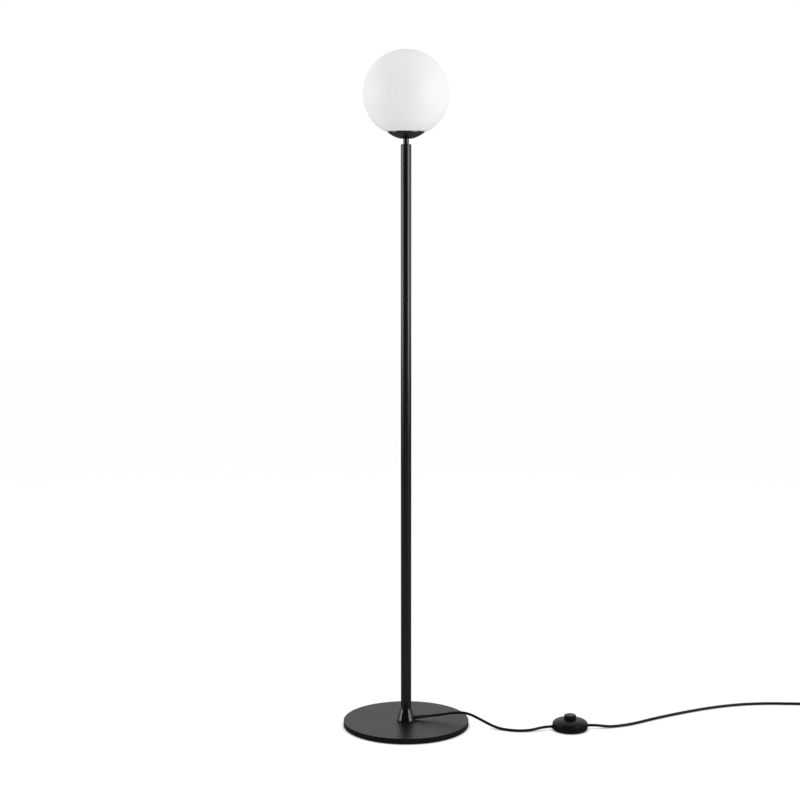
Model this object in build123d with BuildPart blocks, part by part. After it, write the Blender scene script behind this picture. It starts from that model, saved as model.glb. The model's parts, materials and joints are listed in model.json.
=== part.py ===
from build123d import *
from math import cos, pi, radians, sin, sqrt, tan
import os

os.makedirs("parts", exist_ok=True)

# A globe floor lamp: a steel plate, a tube, a spun cup that holds an opal glass globe, and a
# two-core lead with a foot switch and a plug. Millimetres, +Z up. The origin is on the floor
# under the tube's axis. The lead leaves the foot towards +X.

# ---------------------------------------------------------------- driving dimensions
# fits
fit_gap = 0.05        # per side, pressed and threaded fits in one body
free_gap = 0.3        # between pieces that move past each other
cord_diameter = 5.2   # sheathed two-core lead
core_diameter = 2.1   # one insulated core of it

# base plate and the pad under it
base_diameter = 240.0
base_thickness = 10.0
base_edge_round = 0.8
pad_thickness = 1.2
pad_bare_rim = 8.0

# tube, its foot flange and the screws through the plate
pole_diameter = 20.0
pole_wall = 1.5
pole_length = 1092.6
flange_diameter = 30.6
flange_thickness = 4.0
flange_screw_count = 4
flange_screw_circle = 25.3
flange_screw_diameter = 4.0
flange_screw_head = 8.0
flange_screw_length = 12.6
flange_screw_key = 2.5

# conical collar over the foot
collar_foot_diameter = 36.4
collar_top_diameter = 22.4
collar_foot_band = 1.0
collar_cone_height = 21.0
collar_top_band = 1.0
collar_wall = 1.2

# cord exit in the collar's side
exit_height = 4.4          # above the plate
exit_rise = 5.5            # degrees above level
bushing_neck_diameter = 6.1
bushing_root_diameter = 7.3
bushing_tip_diameter = 6.0
bushing_length = 24.0
bushing_inner_flange = 1.2
lead_bend_radius = 8.0
lead_slot_width = 6.6
lead_slot_height = 7.2

# top plug and threaded stem
plug_head_height = 1.5
plug_head_round = 0.9
plug_depth = 14.0
stem_thread_diameter = 10.0
stem_bore = 7.0
stem_neck_diameter = 11.0
stem_neck_height = 10.0
stem_lower_thread = 13.0
stem_upper_thread = 12.5
stem_end_chamfer = 0.5

# spun cup
cup_diameter = 69.2
cup_flat_diameter = 20.0
cup_curve_radius = 52.8
cup_wall = 1.2
cup_rim_band = 1.6

# spring clips, lock nut and gasket
clip_count = 3
clip_width = 8.0
clip_strip = 0.8
clip_disc_diameter = 19.0
clip_height = 9.0           # above the cup's rim
nut_across_flats = 14.0
nut_height = 3.0
gasket_depth = 1.9          # gasket's seat below the cup's rim
gasket_width = 2.4

# opal glass globe
globe_diameter = 160.0
globe_wall = 2.6
globe_seat_diameter = 81.5  # where the sphere gives way to the flat underside
globe_lip_diameter = 63.0
globe_lip_wall = 2.7
globe_rim_gap = 0.35        # between the globe's underside and the cup's rim
globe_corner_round = 1.4

# lampholder
holder_diameter = 28.0
holder_wall = 2.0
holder_cap_height = 20.0
holder_cap_floor = 8.0
holder_boss_diameter = 16.0
holder_shell_height = 28.0
holder_mouth_diameter = 18.0
holder_mouth_lip = 1.6
core_block_drop = 3.0       # the insulating block reaches this far into the cap
core_block_height = 10.0
sleeve_bore = 14.1
sleeve_wall = 0.5
sleeve_height = 18.0
centre_contact_height = 2.2
terminal_spacing = 12.0
terminal_width = 5.0
terminal_length = 9.0
terminal_height = 5.0
terminal_screw_diameter = 2.0
terminal_screw_offset = 3.0
lead_end_above_stem = 2.0
core_spread = 1.15

# bulb
bulb_cap_diameter = 13.9
bulb_cap_height = 17.0
bulb_cap_wall = 0.4
bulb_tip_diameter = 4.6
bulb_tip_height = 1.6
bulb_insulator_height = 2.6
bulb_collar_height = 19.0
bulb_collar_foot = 17.6
bulb_globe_diameter = 45.0
bulb_globe_wall = 1.0
bulb_length = 78.0
bulb_board_thickness = 1.6
bulb_chip_count = 6

# foot switch
switch_x = 312.6
switch_y = -27.5
switch_turn = 6.5           # degrees about Z
switch_diameter = 66.7
switch_pad_diameter = 43.0
switch_pad_thickness = 0.8
switch_wall = 2.2
switch_floor = 2.0
switch_foot_round = 2.8
switch_parting = 12.7       # height of the line between base shell and cover
switch_cover_step = 0.4
switch_top = 20.6
switch_cover_wall = 2.0
switch_cord_height = 7.0
button_diameter = 23.0
button_top = 29.2
button_round = 2.6
button_wall = 2.0
button_flange_diameter = 26.4
button_flange_thickness = 1.5
button_guide_wall = 1.5
button_travel = 3.5
plunger_diameter = 4.8
spring_diameter = 9.2
spring_wire = 0.8
spring_turns = 5
insert_length = 20.0
insert_width = 16.0
insert_top = 12.0
insert_bore = 6.4
switch_screw_count = 3
switch_screw_circle = 52.0
switch_screw_diameter = 2.4
switch_screw_head = 5.4
switch_boss_diameter = 6.4
clamp_place = 22.0
clamp_screw_offset = 6.0
clamp_bar_height = 2.4
clamp_bar_width = 4.6
clamp_screw_diameter = 2.4
clamp_screw_length = 7.0
grommet_flange = 1.3
grommet_flange_diameter = 7.8
grommet_neck_diameter = 6.6
grommet_reach = 35.0        # its outer face, from the switch's axis
lead_end_place = 17.5

# plug
plug_width = 35.3
plug_thickness = 13.7
plug_length = 35.4
plug_taper_length = 15.0
plug_pin_diameter = 4.0
plug_pin_length = 19.0
plug_pin_spacing = 18.6
plug_relief_length = 22.0
plug_relief_root = 9.6
plug_relief_tip = 6.8
plug_face_round = 1.0
plug_pin_root = 8.0
plug_pin_root_diameter = 3.2

# coil of the spare cord
coil_x = 836.0
coil_y = 91.6
coil_outer_radius = 37.4
coil_pitch = 5.9
coil_layer_rise = 5.8
coil_turns_in = 3.0
coil_turns_out = 2.5
coil_tail_start = 14.0
coil_tail_length = 30.0

# ---------------------------------------------------------------- sizes that follow
cord_radius = cord_diameter / 2
core_radius = core_diameter / 2
plate_top = pad_thickness + base_thickness
pole_radius = pole_diameter / 2
pole_bore_radius = pole_radius - pole_wall
pole_top = plate_top + pole_length + plug_head_height
stem_radius = stem_thread_diameter / 2
cup_floor = pole_top + stem_neck_height
cup_radius = cup_diameter / 2
cup_centre = cup_floor + sqrt(cup_curve_radius**2 - (cup_flat_diameter / 2) ** 2)
cup_inner_curve = cup_curve_radius - cup_wall
cup_band_foot = cup_centre - sqrt(cup_curve_radius**2 - cup_radius**2)
cup_rim = cup_band_foot + cup_rim_band
globe_radius = globe_diameter / 2
globe_underside = cup_rim + globe_rim_gap
seat_radius = globe_seat_diameter / 2
globe_seat_drop = sqrt(globe_radius**2 - seat_radius**2)
globe_centre = globe_underside + globe_seat_drop
globe_lip_foot = cup_rim - gasket_depth
globe_lip_radius = globe_lip_diameter / 2
globe_mouth_radius = globe_lip_radius - globe_lip_wall
clip_floor = cup_floor + cup_wall
nut_foot = clip_floor + clip_strip
holder_foot = nut_foot + nut_height
holder_radius = holder_diameter / 2
holder_bore = holder_radius - holder_wall
holder_joint = holder_foot + holder_cap_height
core_block_foot = holder_joint - core_block_drop
core_block_top = core_block_foot + core_block_height
stem_top = cup_floor + stem_upper_thread
lead_end = stem_top + lead_end_above_stem
bulb_tip_foot = core_block_top + centre_contact_height + free_gap
bulb_insulator_foot = bulb_tip_foot + bulb_tip_height / 2
bulb_cap_foot = bulb_insulator_foot + bulb_insulator_height / 2
bulb_cap_top = bulb_cap_foot + bulb_cap_height
bulb_collar_top = bulb_cap_top + bulb_collar_height
bulb_globe_radius = bulb_globe_diameter / 2
bulb_globe_centre = bulb_tip_foot + bulb_length - bulb_globe_radius

ON_BASE = (Align.CENTER, Align.CENTER, Align.MIN)
UNDER_TOP = (Align.CENTER, Align.CENTER, Align.MAX)


# ---------------------------------------------------------------- shared forms
def section_plane(plane):
    """The upright plane through a plane's own x and z directions, for turned profiles."""
    return Plane(origin=plane.origin, x_dir=plane.x_dir, z_dir=plane.y_dir * -1)


def cup_inner_height(radius):
    """Height of the cup's inner face at a radius."""
    return cup_centre - sqrt(cup_inner_curve**2 - radius**2)


def corner_radii(name, points):
    """Largest sensible arc at each corner of a cord's route, printed for checking."""
    corners = [Vector(*point) for point in points]
    radii = []
    for before, corner, after in zip(corners, corners[1:], corners[2:]):
        run_in = corner - before
        run_out = after - corner
        turn = radians(run_in.get_angle(run_out))
        radii.append(0.45 * min(run_in.length, run_out.length) / tan(turn / 2))
    print(name, "radii", [round(radius, 1) for radius in radii])
    return radii


def start_plane(line):
    """Plane square to the start of a line."""
    return Plane(origin=line @ 0, z_dir=line % 0)


def report_volume(name, part, path, radius):
    """Print how a tube's volume compares with its section times its length."""
    length = sum(edge.length for edge in path.edges())
    ratio = part.volume / (pi * radius**2 * length)
    print(name, "length", round(length, 1), "volume ratio", round(ratio, 4))


def biarc_joint(start, start_way, end, end_way):
    """Middle point and direction of the two arcs that join two points smoothly."""
    step = end - start
    ways = start_way + end_way
    blend = 2 * (1 - start_way.dot(end_way))
    along = step.dot(ways)
    if blend < 1e-9:
        reach = step.dot(step) / (2 * along)
    else:
        reach = (sqrt(along**2 + blend * step.dot(step)) - along) / blend
    first = start + start_way * reach
    second = end - end_way * reach
    return (first + second) * 0.5, (second - first).normalized()


def least_gap(points, diameter, skip):
    """Least clear gap of a wound tube to itself, from points along its middle."""
    least = None
    for index, point in enumerate(points):
        for other in points[index + skip:]:
            gap = (other - point).length - diameter
            least = gap if least is None else min(least, gap)
    return least


# ---------------------------------------------------------------- base
with BuildPart() as base_pad:
    with BuildSketch():
        Circle(base_diameter / 2 - pad_bare_rim)
    extrude(amount=pad_thickness)

with BuildPart() as base_plate:
    with BuildSketch(Plane.XY.offset(pad_thickness)):
        Circle(base_diameter / 2)
    extrude(amount=base_thickness)
    fillet(base_plate.edges().group_by(Axis.Z)[-1], base_edge_round)
    chamfer(base_plate.edges().group_by(Axis.Z)[0], base_edge_round / 2)
    with Locations(Plane(origin=(0, 0, pad_thickness), z_dir=(0, 0, -1))):
        with PolarLocations(flange_screw_circle / 2, flange_screw_count, start_angle=45):
            CounterSinkHole(
                radius=flange_screw_diameter / 2 + fit_gap,
                counter_sink_radius=flange_screw_head / 2 + fit_gap,
                depth=base_thickness,
                counter_sink_angle=90,
            )

with BuildPart() as flange_screws:
    with Locations((0, 0, pad_thickness)):
        with PolarLocations(flange_screw_circle / 2, flange_screw_count, start_angle=45):
            Cone(
                flange_screw_head / 2,
                flange_screw_diameter / 2,
                (flange_screw_head - flange_screw_diameter) / 2,
                align=ON_BASE,
            )
            Cylinder(flange_screw_diameter / 2, flange_screw_length, align=ON_BASE)
    with BuildSketch(Plane.XY.offset(pad_thickness)):
        with PolarLocations(flange_screw_circle / 2, flange_screw_count, start_angle=45):
            RegularPolygon(flange_screw_key / 2, 6, major_radius=False)
    extrude(amount=(flange_screw_head - flange_screw_diameter) / 2, mode=Mode.SUBTRACT)

with BuildPart() as pole_flange:
    with BuildSketch(Plane.XY.offset(plate_top)):
        Circle(flange_diameter / 2)
        Circle(pole_radius + fit_gap, mode=Mode.SUBTRACT)
        with PolarLocations(flange_screw_circle / 2, flange_screw_count, start_angle=45):
            Circle(flange_screw_diameter / 2 + fit_gap, mode=Mode.SUBTRACT)
        with Locations((flange_diameter / 2, 0)):
            Rectangle(flange_diameter, bushing_root_diameter + 2 * free_gap, mode=Mode.SUBTRACT)
    extrude(amount=flange_thickness)


# ---------------------------------------------------------------- tube
with BuildPart() as pole_tube:
    with BuildSketch(Plane.XY.offset(plate_top)):
        Circle(pole_radius)
        Circle(pole_bore_radius, mode=Mode.SUBTRACT)
    extrude(amount=pole_length)
    with BuildSketch(Plane.XY.offset(plate_top)):
        with Locations((pole_radius, 0)):
            Rectangle(pole_diameter, lead_slot_width)
    extrude(amount=lead_slot_height, mode=Mode.SUBTRACT)

with BuildPart() as pole_top_plug:
    with Locations((0, 0, pole_top - plug_head_height)):
        Cylinder(pole_radius, plug_head_height, align=ON_BASE)
        Cylinder(pole_bore_radius - fit_gap, plug_depth, align=UNDER_TOP)
    fillet(pole_top_plug.edges().group_by(Axis.Z)[-1], plug_head_round)
    with Locations((0, 0, pole_top)):
        Hole(stem_radius + fit_gap)


# ---------------------------------------------------------------- collar
collar_foot_radius = collar_foot_diameter / 2
collar_top_radius = collar_top_diameter / 2
collar_cone_foot = plate_top + collar_foot_band
collar_cone_top = collar_cone_foot + collar_cone_height
collar_top = collar_cone_top + collar_top_band
collar_slope = (collar_foot_radius - collar_top_radius) / collar_cone_height
collar_bore = pole_radius + fit_gap
collar_inner_foot = collar_foot_radius - collar_wall
collar_inner_top = collar_cone_foot + (collar_inner_foot - collar_bore) / collar_slope
exit_z = plate_top + exit_height
exit_x = collar_foot_radius - (exit_z - collar_cone_foot) * collar_slope
exit_way = Vector(cos(radians(exit_rise)), 0, sin(radians(exit_rise)))
exit_point = Vector(exit_x, 0, exit_z)
exit_plane = Plane(origin=exit_point, x_dir=(0, 1, 0), z_dir=exit_way)
cord_exit = exit_point + exit_way * bushing_length

with BuildPart() as collar:
    with BuildSketch(Plane.XZ):
        with BuildLine():
            Polyline(
                (collar_inner_foot, plate_top),
                (collar_foot_radius, plate_top),
                (collar_foot_radius, collar_cone_foot),
                (collar_top_radius, collar_cone_top),
                (collar_top_radius, collar_top),
                (collar_bore, collar_top),
                (collar_bore, min(collar_inner_top, collar_cone_top)),
                (collar_inner_foot, collar_cone_foot),
                close=True,
            )
        make_face()
    revolve(axis=Axis.Z)
    with BuildSketch(exit_plane):
        Circle(bushing_neck_diameter / 2 + fit_gap)
    extrude(amount=collar_wall * 3, both=True, mode=Mode.SUBTRACT)

bushing_axis = Axis(exit_point, exit_way)
bushing_section = Plane(origin=exit_point, x_dir=exit_way, z_dir=(0, -1, 0))
bushing_reach_in = collar_wall * 3.6

with BuildPart() as cord_bushing:
    with BuildSketch(bushing_section):
        with BuildLine():
            Polyline(
                (-collar_wall, 0),
                (-collar_wall, bushing_root_diameter / 2),
                (bushing_length * 0.2, bushing_root_diameter / 2),
                (bushing_length, bushing_tip_diameter / 2),
                (bushing_length, 0),
                close=True,
            )
        make_face()
    revolve(axis=bushing_axis)
    with Locations((0, 0, collar_cone_foot)):
        Cone(
            collar_foot_radius + fit_gap,
            collar_top_radius + fit_gap,
            collar_cone_height,
            align=ON_BASE,
            mode=Mode.SUBTRACT,
        )
        Cylinder(collar_foot_radius + fit_gap, base_thickness, align=UNDER_TOP, mode=Mode.SUBTRACT)
    with Locations(exit_plane.offset(-bushing_reach_in)):
        Cylinder(bushing_neck_diameter / 2, bushing_reach_in + collar_wall, align=ON_BASE)
        Cylinder(bushing_root_diameter / 2, bushing_inner_flange, align=ON_BASE)
    with BuildSketch(exit_plane):
        Circle(cord_radius + fit_gap)
    extrude(amount=bushing_length * 2, both=True, mode=Mode.SUBTRACT)


# ---------------------------------------------------------------- lead up the tube
lead_corner = (0, 0, exit_z - exit_x * tan(radians(exit_rise)))

with BuildPart() as lead_in_pole:
    with BuildLine() as lead_route:
        FilletPolyline(cord_exit, lead_corner, (0, 0, lead_end), radius=lead_bend_radius)
    with BuildSketch(start_plane(lead_route.line)):
        Circle(cord_radius)
    sweep()
report_volume("lead in pole", lead_in_pole.part, lead_route.line, cord_radius)


# ---------------------------------------------------------------- stem and cup
with BuildPart() as stem:
    with Locations((0, 0, pole_top)):
        Cylinder(stem_radius, stem_lower_thread, align=UNDER_TOP)
        Cylinder(stem_neck_diameter / 2, stem_neck_height, align=ON_BASE)
    with Locations((0, 0, cup_floor)):
        Cylinder(stem_radius, stem_upper_thread, align=ON_BASE)
    chamfer(stem.edges().group_by(Axis.Z)[-1] + stem.edges().group_by(Axis.Z)[0], stem_end_chamfer)
    with Locations((0, 0, stem_top)):
        Hole(stem_bore / 2)

with BuildPart() as cup:
    with BuildSketch(Plane.XZ):
        with BuildLine():
            hole_edge = stem_radius + fit_gap
            flat = cup_flat_diameter / 2
            inner_rim = cup_radius - cup_wall
            middle = (flat + cup_radius) / 2
            Line((hole_edge, cup_floor), (flat, cup_floor))
            ThreePointArc(
                (flat, cup_floor),
                (middle, cup_centre - sqrt(cup_curve_radius**2 - middle**2)),
                (cup_radius, cup_band_foot),
            )
            Polyline((cup_radius, cup_band_foot), (cup_radius, cup_rim), (inner_rim, cup_rim))
            Line((inner_rim, cup_rim), (inner_rim, cup_inner_height(inner_rim)))
            ThreePointArc(
                (inner_rim, cup_inner_height(inner_rim)),
                (middle, cup_inner_height(middle)),
                (flat, cup_inner_height(flat)),
            )
            Polyline(
                (flat, cup_inner_height(flat)),
                (flat, clip_floor),
                (hole_edge, clip_floor),
                (hole_edge, cup_floor),
            )
        make_face()
    revolve(axis=Axis.Z)

clip_radius = globe_mouth_radius - free_gap - clip_strip / 2
clip_turn_radius = clip_radius - clip_strip * 2
clip_low_radius = (clip_disc_diameter / 2 + clip_turn_radius) / 2
clip_lift = free_gap + clip_strip / 2
clip_top = cup_rim + clip_height

with BuildPart() as spring_clips:
    with BuildSketch(Plane.XY.offset(clip_floor)):
        Circle(clip_disc_diameter / 2)
    extrude(amount=clip_strip)
    with BuildSketch(Plane.XZ):
        with BuildLine():
            Polyline(
                (stem_radius, clip_floor + clip_strip / 2),
                (clip_disc_diameter / 2 - clip_strip, clip_floor + clip_strip / 2),
                (clip_low_radius, cup_inner_height(clip_low_radius) + clip_lift + clip_strip / 2),
                (clip_turn_radius, cup_inner_height(clip_turn_radius) + clip_lift + clip_strip),
                (clip_radius, cup_inner_height(clip_radius) + clip_lift + clip_strip * 2),
                (clip_radius, clip_top - clip_strip * 3),
                (clip_radius - clip_strip * 2, clip_top),
            )
        trace(line_width=clip_strip)
    extrude(amount=clip_width / 2, both=True)
    arm = spring_clips.part
    for turn in range(1, clip_count):
        add(arm.rotate(Axis.Z, turn * 360 / clip_count))
    with Locations((0, 0, clip_top)):
        Hole(stem_radius + fit_gap)

with BuildPart() as lock_nut:
    with BuildSketch(Plane.XY.offset(nut_foot)):
        RegularPolygon(nut_across_flats / 2, 6, major_radius=False)
        Circle(stem_radius + fit_gap, mode=Mode.SUBTRACT)
    extrude(amount=nut_height)

gasket_outer = globe_lip_radius - fit_gap
gasket_inner = gasket_outer - gasket_width

with BuildPart() as globe_gasket:
    with BuildSketch(Plane.XZ):
        with BuildLine():
            Polyline(
                (gasket_inner, cup_inner_height(gasket_inner) + fit_gap),
                (gasket_outer, cup_inner_height(gasket_outer) + fit_gap),
                (gasket_outer, globe_lip_foot),
                (gasket_inner, globe_lip_foot),
                close=True,
            )
        make_face()
    revolve(axis=Axis.Z)


# ---------------------------------------------------------------- globe
inner_globe_radius = globe_radius - globe_wall
inner_seat_drop = globe_seat_drop - globe_wall
inner_seat_radius = sqrt(inner_globe_radius**2 - inner_seat_drop**2)

with BuildPart() as globe:
    with BuildSketch(Plane.XZ) as globe_section:
        with BuildLine():
            ThreePointArc(
                (0, globe_centre + globe_radius),
                (globe_radius, globe_centre),
                (seat_radius, globe_underside),
            )
            Polyline(
                (seat_radius, globe_underside),
                (globe_lip_radius, globe_underside),
                (globe_lip_radius, globe_lip_foot),
                (globe_mouth_radius, globe_lip_foot),
                (globe_mouth_radius, globe_underside + globe_wall),
                (inner_seat_radius, globe_underside + globe_wall),
            )
            ThreePointArc(
                (inner_seat_radius, globe_underside + globe_wall),
                (inner_globe_radius, globe_centre),
                (0, globe_centre + inner_globe_radius),
            )
            Line((0, globe_centre + inner_globe_radius), (0, globe_centre + globe_radius))
        make_face()
        corners = globe_section.vertices()
        fillet(corners.sort_by_distance((seat_radius, 0, globe_underside))[0], globe_corner_round)
        fillet(
            corners.sort_by_distance((inner_seat_radius, 0, globe_underside + globe_wall))[0],
            globe_corner_round,
        )
    revolve(axis=Axis.Z)


# ---------------------------------------------------------------- lampholder
with BuildPart() as holder_cap:
    with Locations((0, 0, holder_foot)):
        Cylinder(holder_radius, holder_cap_height, align=ON_BASE)
    chamfer(holder_cap.edges().group_by(Axis.Z)[0], holder_wall)
    with BuildSketch(Plane.XY.offset(holder_foot + holder_cap_floor / 2)):
        Circle(holder_bore)
        Circle(holder_boss_diameter / 2, mode=Mode.SUBTRACT)
    extrude(amount=holder_cap_floor / 2, mode=Mode.SUBTRACT)
    with BuildSketch(Plane.XY.offset(holder_foot + holder_cap_floor)):
        Circle(holder_bore)
    extrude(amount=holder_cap_height - holder_cap_floor, mode=Mode.SUBTRACT)
    with Locations((0, 0, holder_joint)):
        Hole(stem_radius + fit_gap)

terminal_places = [(-terminal_spacing / 2, 0), (terminal_spacing / 2, 0)]
screw_places = [(x, terminal_screw_offset) for x, _ in terminal_places]

with BuildPart() as holder_core:
    with Locations((0, 0, core_block_foot)):
        Cylinder(holder_bore - fit_gap, core_block_height, align=ON_BASE)
        with Locations(*terminal_places):
            Box(
                terminal_width + 2 * fit_gap,
                terminal_length + 2 * fit_gap,
                terminal_height + fit_gap,
                align=ON_BASE,
                mode=Mode.SUBTRACT,
            )

with BuildPart() as holder_terminals:
    with Locations((0, 0, core_block_foot)):
        with Locations(*terminal_places):
            Box(terminal_width, terminal_length, terminal_height, align=ON_BASE)
            Cylinder(
                core_radius + fit_gap, terminal_height - 1, align=ON_BASE, mode=Mode.SUBTRACT
            )
        with Locations(*screw_places):
            Cylinder(
                terminal_screw_diameter / 2 + fit_gap,
                terminal_height - 1,
                align=ON_BASE,
                mode=Mode.SUBTRACT,
            )

with BuildPart() as holder_screws:
    with Locations((0, 0, core_block_foot)):
        with Locations(*screw_places):
            Cylinder(terminal_screw_diameter * 0.8, terminal_screw_diameter / 2, align=UNDER_TOP)
            Cylinder(terminal_screw_diameter / 2, terminal_height - 1.5, align=ON_BASE)

with BuildPart() as holder_shell:
    with BuildSketch(Plane.XY.offset(holder_joint)):
        Circle(holder_radius)
        Circle(holder_bore, mode=Mode.SUBTRACT)
    extrude(amount=holder_shell_height)
    with BuildSketch(Plane.XY.offset(holder_joint + holder_shell_height - holder_mouth_lip)):
        Circle(holder_bore + holder_wall / 2)
        Circle(holder_mouth_diameter / 2, mode=Mode.SUBTRACT)
    extrude(amount=holder_mouth_lip)

with BuildPart() as thread_sleeve:
    with BuildSketch(Plane.XY.offset(core_block_top)):
        Circle(sleeve_bore / 2 + sleeve_wall)
        Circle(sleeve_bore / 2, mode=Mode.SUBTRACT)
    extrude(amount=sleeve_height)

with BuildPart() as holder_contacts:
    with Locations((0, 0, core_block_top)):
        Box(terminal_length, terminal_width, centre_contact_height / 4, align=ON_BASE)
        Box(terminal_width / 2, terminal_width, centre_contact_height, align=ON_BASE)
        with Locations((sleeve_bore / 2 + sleeve_wall + fit_gap, 0)):
            Box(
                sleeve_wall * 2,
                terminal_width,
                centre_contact_height * 2,
                align=(Align.MIN, Align.CENTER, Align.MIN),
            )


def conductor_route(side):
    """Route of one core, from the end of the sheath to its terminal."""
    start = side * core_spread
    end = side * terminal_spacing / 2
    climb = (core_block_foot - lead_end) / 4
    return [
        (start, 0, lead_end),
        (start, 0, lead_end + climb),
        (end, 0, core_block_foot - climb),
        (end, 0, core_block_foot + terminal_height - 1 - free_gap),
    ]


with BuildPart() as conductor_live:
    with BuildLine() as live_route:
        FilletPolyline(*conductor_route(1), radius=core_diameter)
    with BuildSketch(start_plane(live_route.line)):
        Circle(core_radius)
    sweep()

with BuildPart() as conductor_neutral:
    with BuildLine() as neutral_route:
        FilletPolyline(*conductor_route(-1), radius=core_diameter)
    with BuildSketch(start_plane(neutral_route.line)):
        Circle(core_radius)
    sweep()


# ---------------------------------------------------------------- bulb
with BuildPart() as bulb_tip:
    with Locations((0, 0, bulb_tip_foot)):
        Cylinder(bulb_tip_diameter / 2, bulb_tip_height, align=ON_BASE)
    fillet(bulb_tip.edges().group_by(Axis.Z)[0], bulb_tip_height / 2.5)

bulb_cap_radius = bulb_cap_diameter / 2

with BuildPart() as bulb_insulator:
    with Locations((0, 0, bulb_insulator_foot)):
        Cone(
            bulb_cap_radius * 0.55,
            bulb_cap_radius - bulb_cap_wall - fit_gap,
            bulb_insulator_height,
            align=ON_BASE,
        )
    with Locations((0, 0, bulb_tip_foot)):
        Cylinder(
            bulb_tip_diameter / 2 + fit_gap,
            bulb_tip_height + fit_gap,
            align=ON_BASE,
            mode=Mode.SUBTRACT,
        )

with BuildPart() as bulb_cap:
    with BuildSketch(Plane.XY.offset(bulb_cap_foot)):
        Circle(bulb_cap_radius)
        Circle(bulb_cap_radius - bulb_cap_wall, mode=Mode.SUBTRACT)
    extrude(amount=bulb_cap_height)

bulb_seat_radius = sqrt(bulb_globe_radius**2 - (bulb_globe_centre - bulb_collar_top) ** 2)

with BuildPart() as bulb_collar:
    with BuildSketch(Plane.XZ):
        with BuildLine():
            Polyline(
                (0, bulb_cap_top - bulb_cap_wall * 10),
                (bulb_cap_radius - bulb_cap_wall - fit_gap, bulb_cap_top - bulb_cap_wall * 10),
                (bulb_cap_radius - bulb_cap_wall - fit_gap, bulb_cap_top),
                (bulb_collar_foot / 2, bulb_cap_top),
                (bulb_collar_foot / 2, bulb_cap_top + bulb_collar_height / 5),
                (bulb_seat_radius, bulb_collar_top),
                (0, bulb_collar_top),
                close=True,
            )
        make_face()
    revolve(axis=Axis.Z)

with BuildPart() as bulb_board:
    board_radius = bulb_seat_radius - bulb_globe_wall * 2.5
    with Locations((0, 0, bulb_collar_top)):
        Cylinder(board_radius, bulb_board_thickness, align=ON_BASE)
    with Locations((0, 0, bulb_collar_top + bulb_board_thickness)):
        with PolarLocations(board_radius * 0.65, bulb_chip_count):
            Box(3, 3, 0.8, align=ON_BASE)

with BuildPart() as bulb_envelope:
    with Locations((0, 0, bulb_globe_centre)):
        Sphere(bulb_globe_radius)
        Sphere(bulb_globe_radius - bulb_globe_wall, mode=Mode.SUBTRACT)
    split(bisect_by=Plane.XY.offset(bulb_collar_top), keep=Keep.TOP)


# ---------------------------------------------------------------- foot switch
switch_axis_way = (cos(radians(switch_turn)), sin(radians(switch_turn)), 0)
switch_plane = Plane(origin=(switch_x, switch_y, 0), x_dir=switch_axis_way, z_dir=(0, 0, 1))
switch_section = section_plane(switch_plane)
switch_axis = Axis(switch_plane.origin, (0, 0, 1))
switch_radius = switch_diameter / 2
switch_inner = switch_radius - switch_wall
switch_inside = switch_pad_thickness + switch_floor
switch_cord_plane = Plane(
    origin=switch_plane.from_local_coords((0, 0, switch_cord_height)),
    x_dir=switch_plane.y_dir,
    z_dir=switch_plane.x_dir,
)
boss_gap = 0.2
clamp_foot = switch_cord_height + cord_radius + fit_gap
clamp_spots = [(x, y) for x in (-clamp_place, clamp_place) for y in (-1, 1)]
clamp_screw_spots = [(x, y * clamp_screw_offset) for x, y in clamp_spots]


def switch_level(height):
    """Level plane of the switch at a height."""
    return switch_plane.offset(height)


with BuildPart() as switch_pad:
    with BuildSketch(switch_plane):
        Circle(switch_pad_diameter / 2)
    extrude(amount=switch_pad_thickness)

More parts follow.
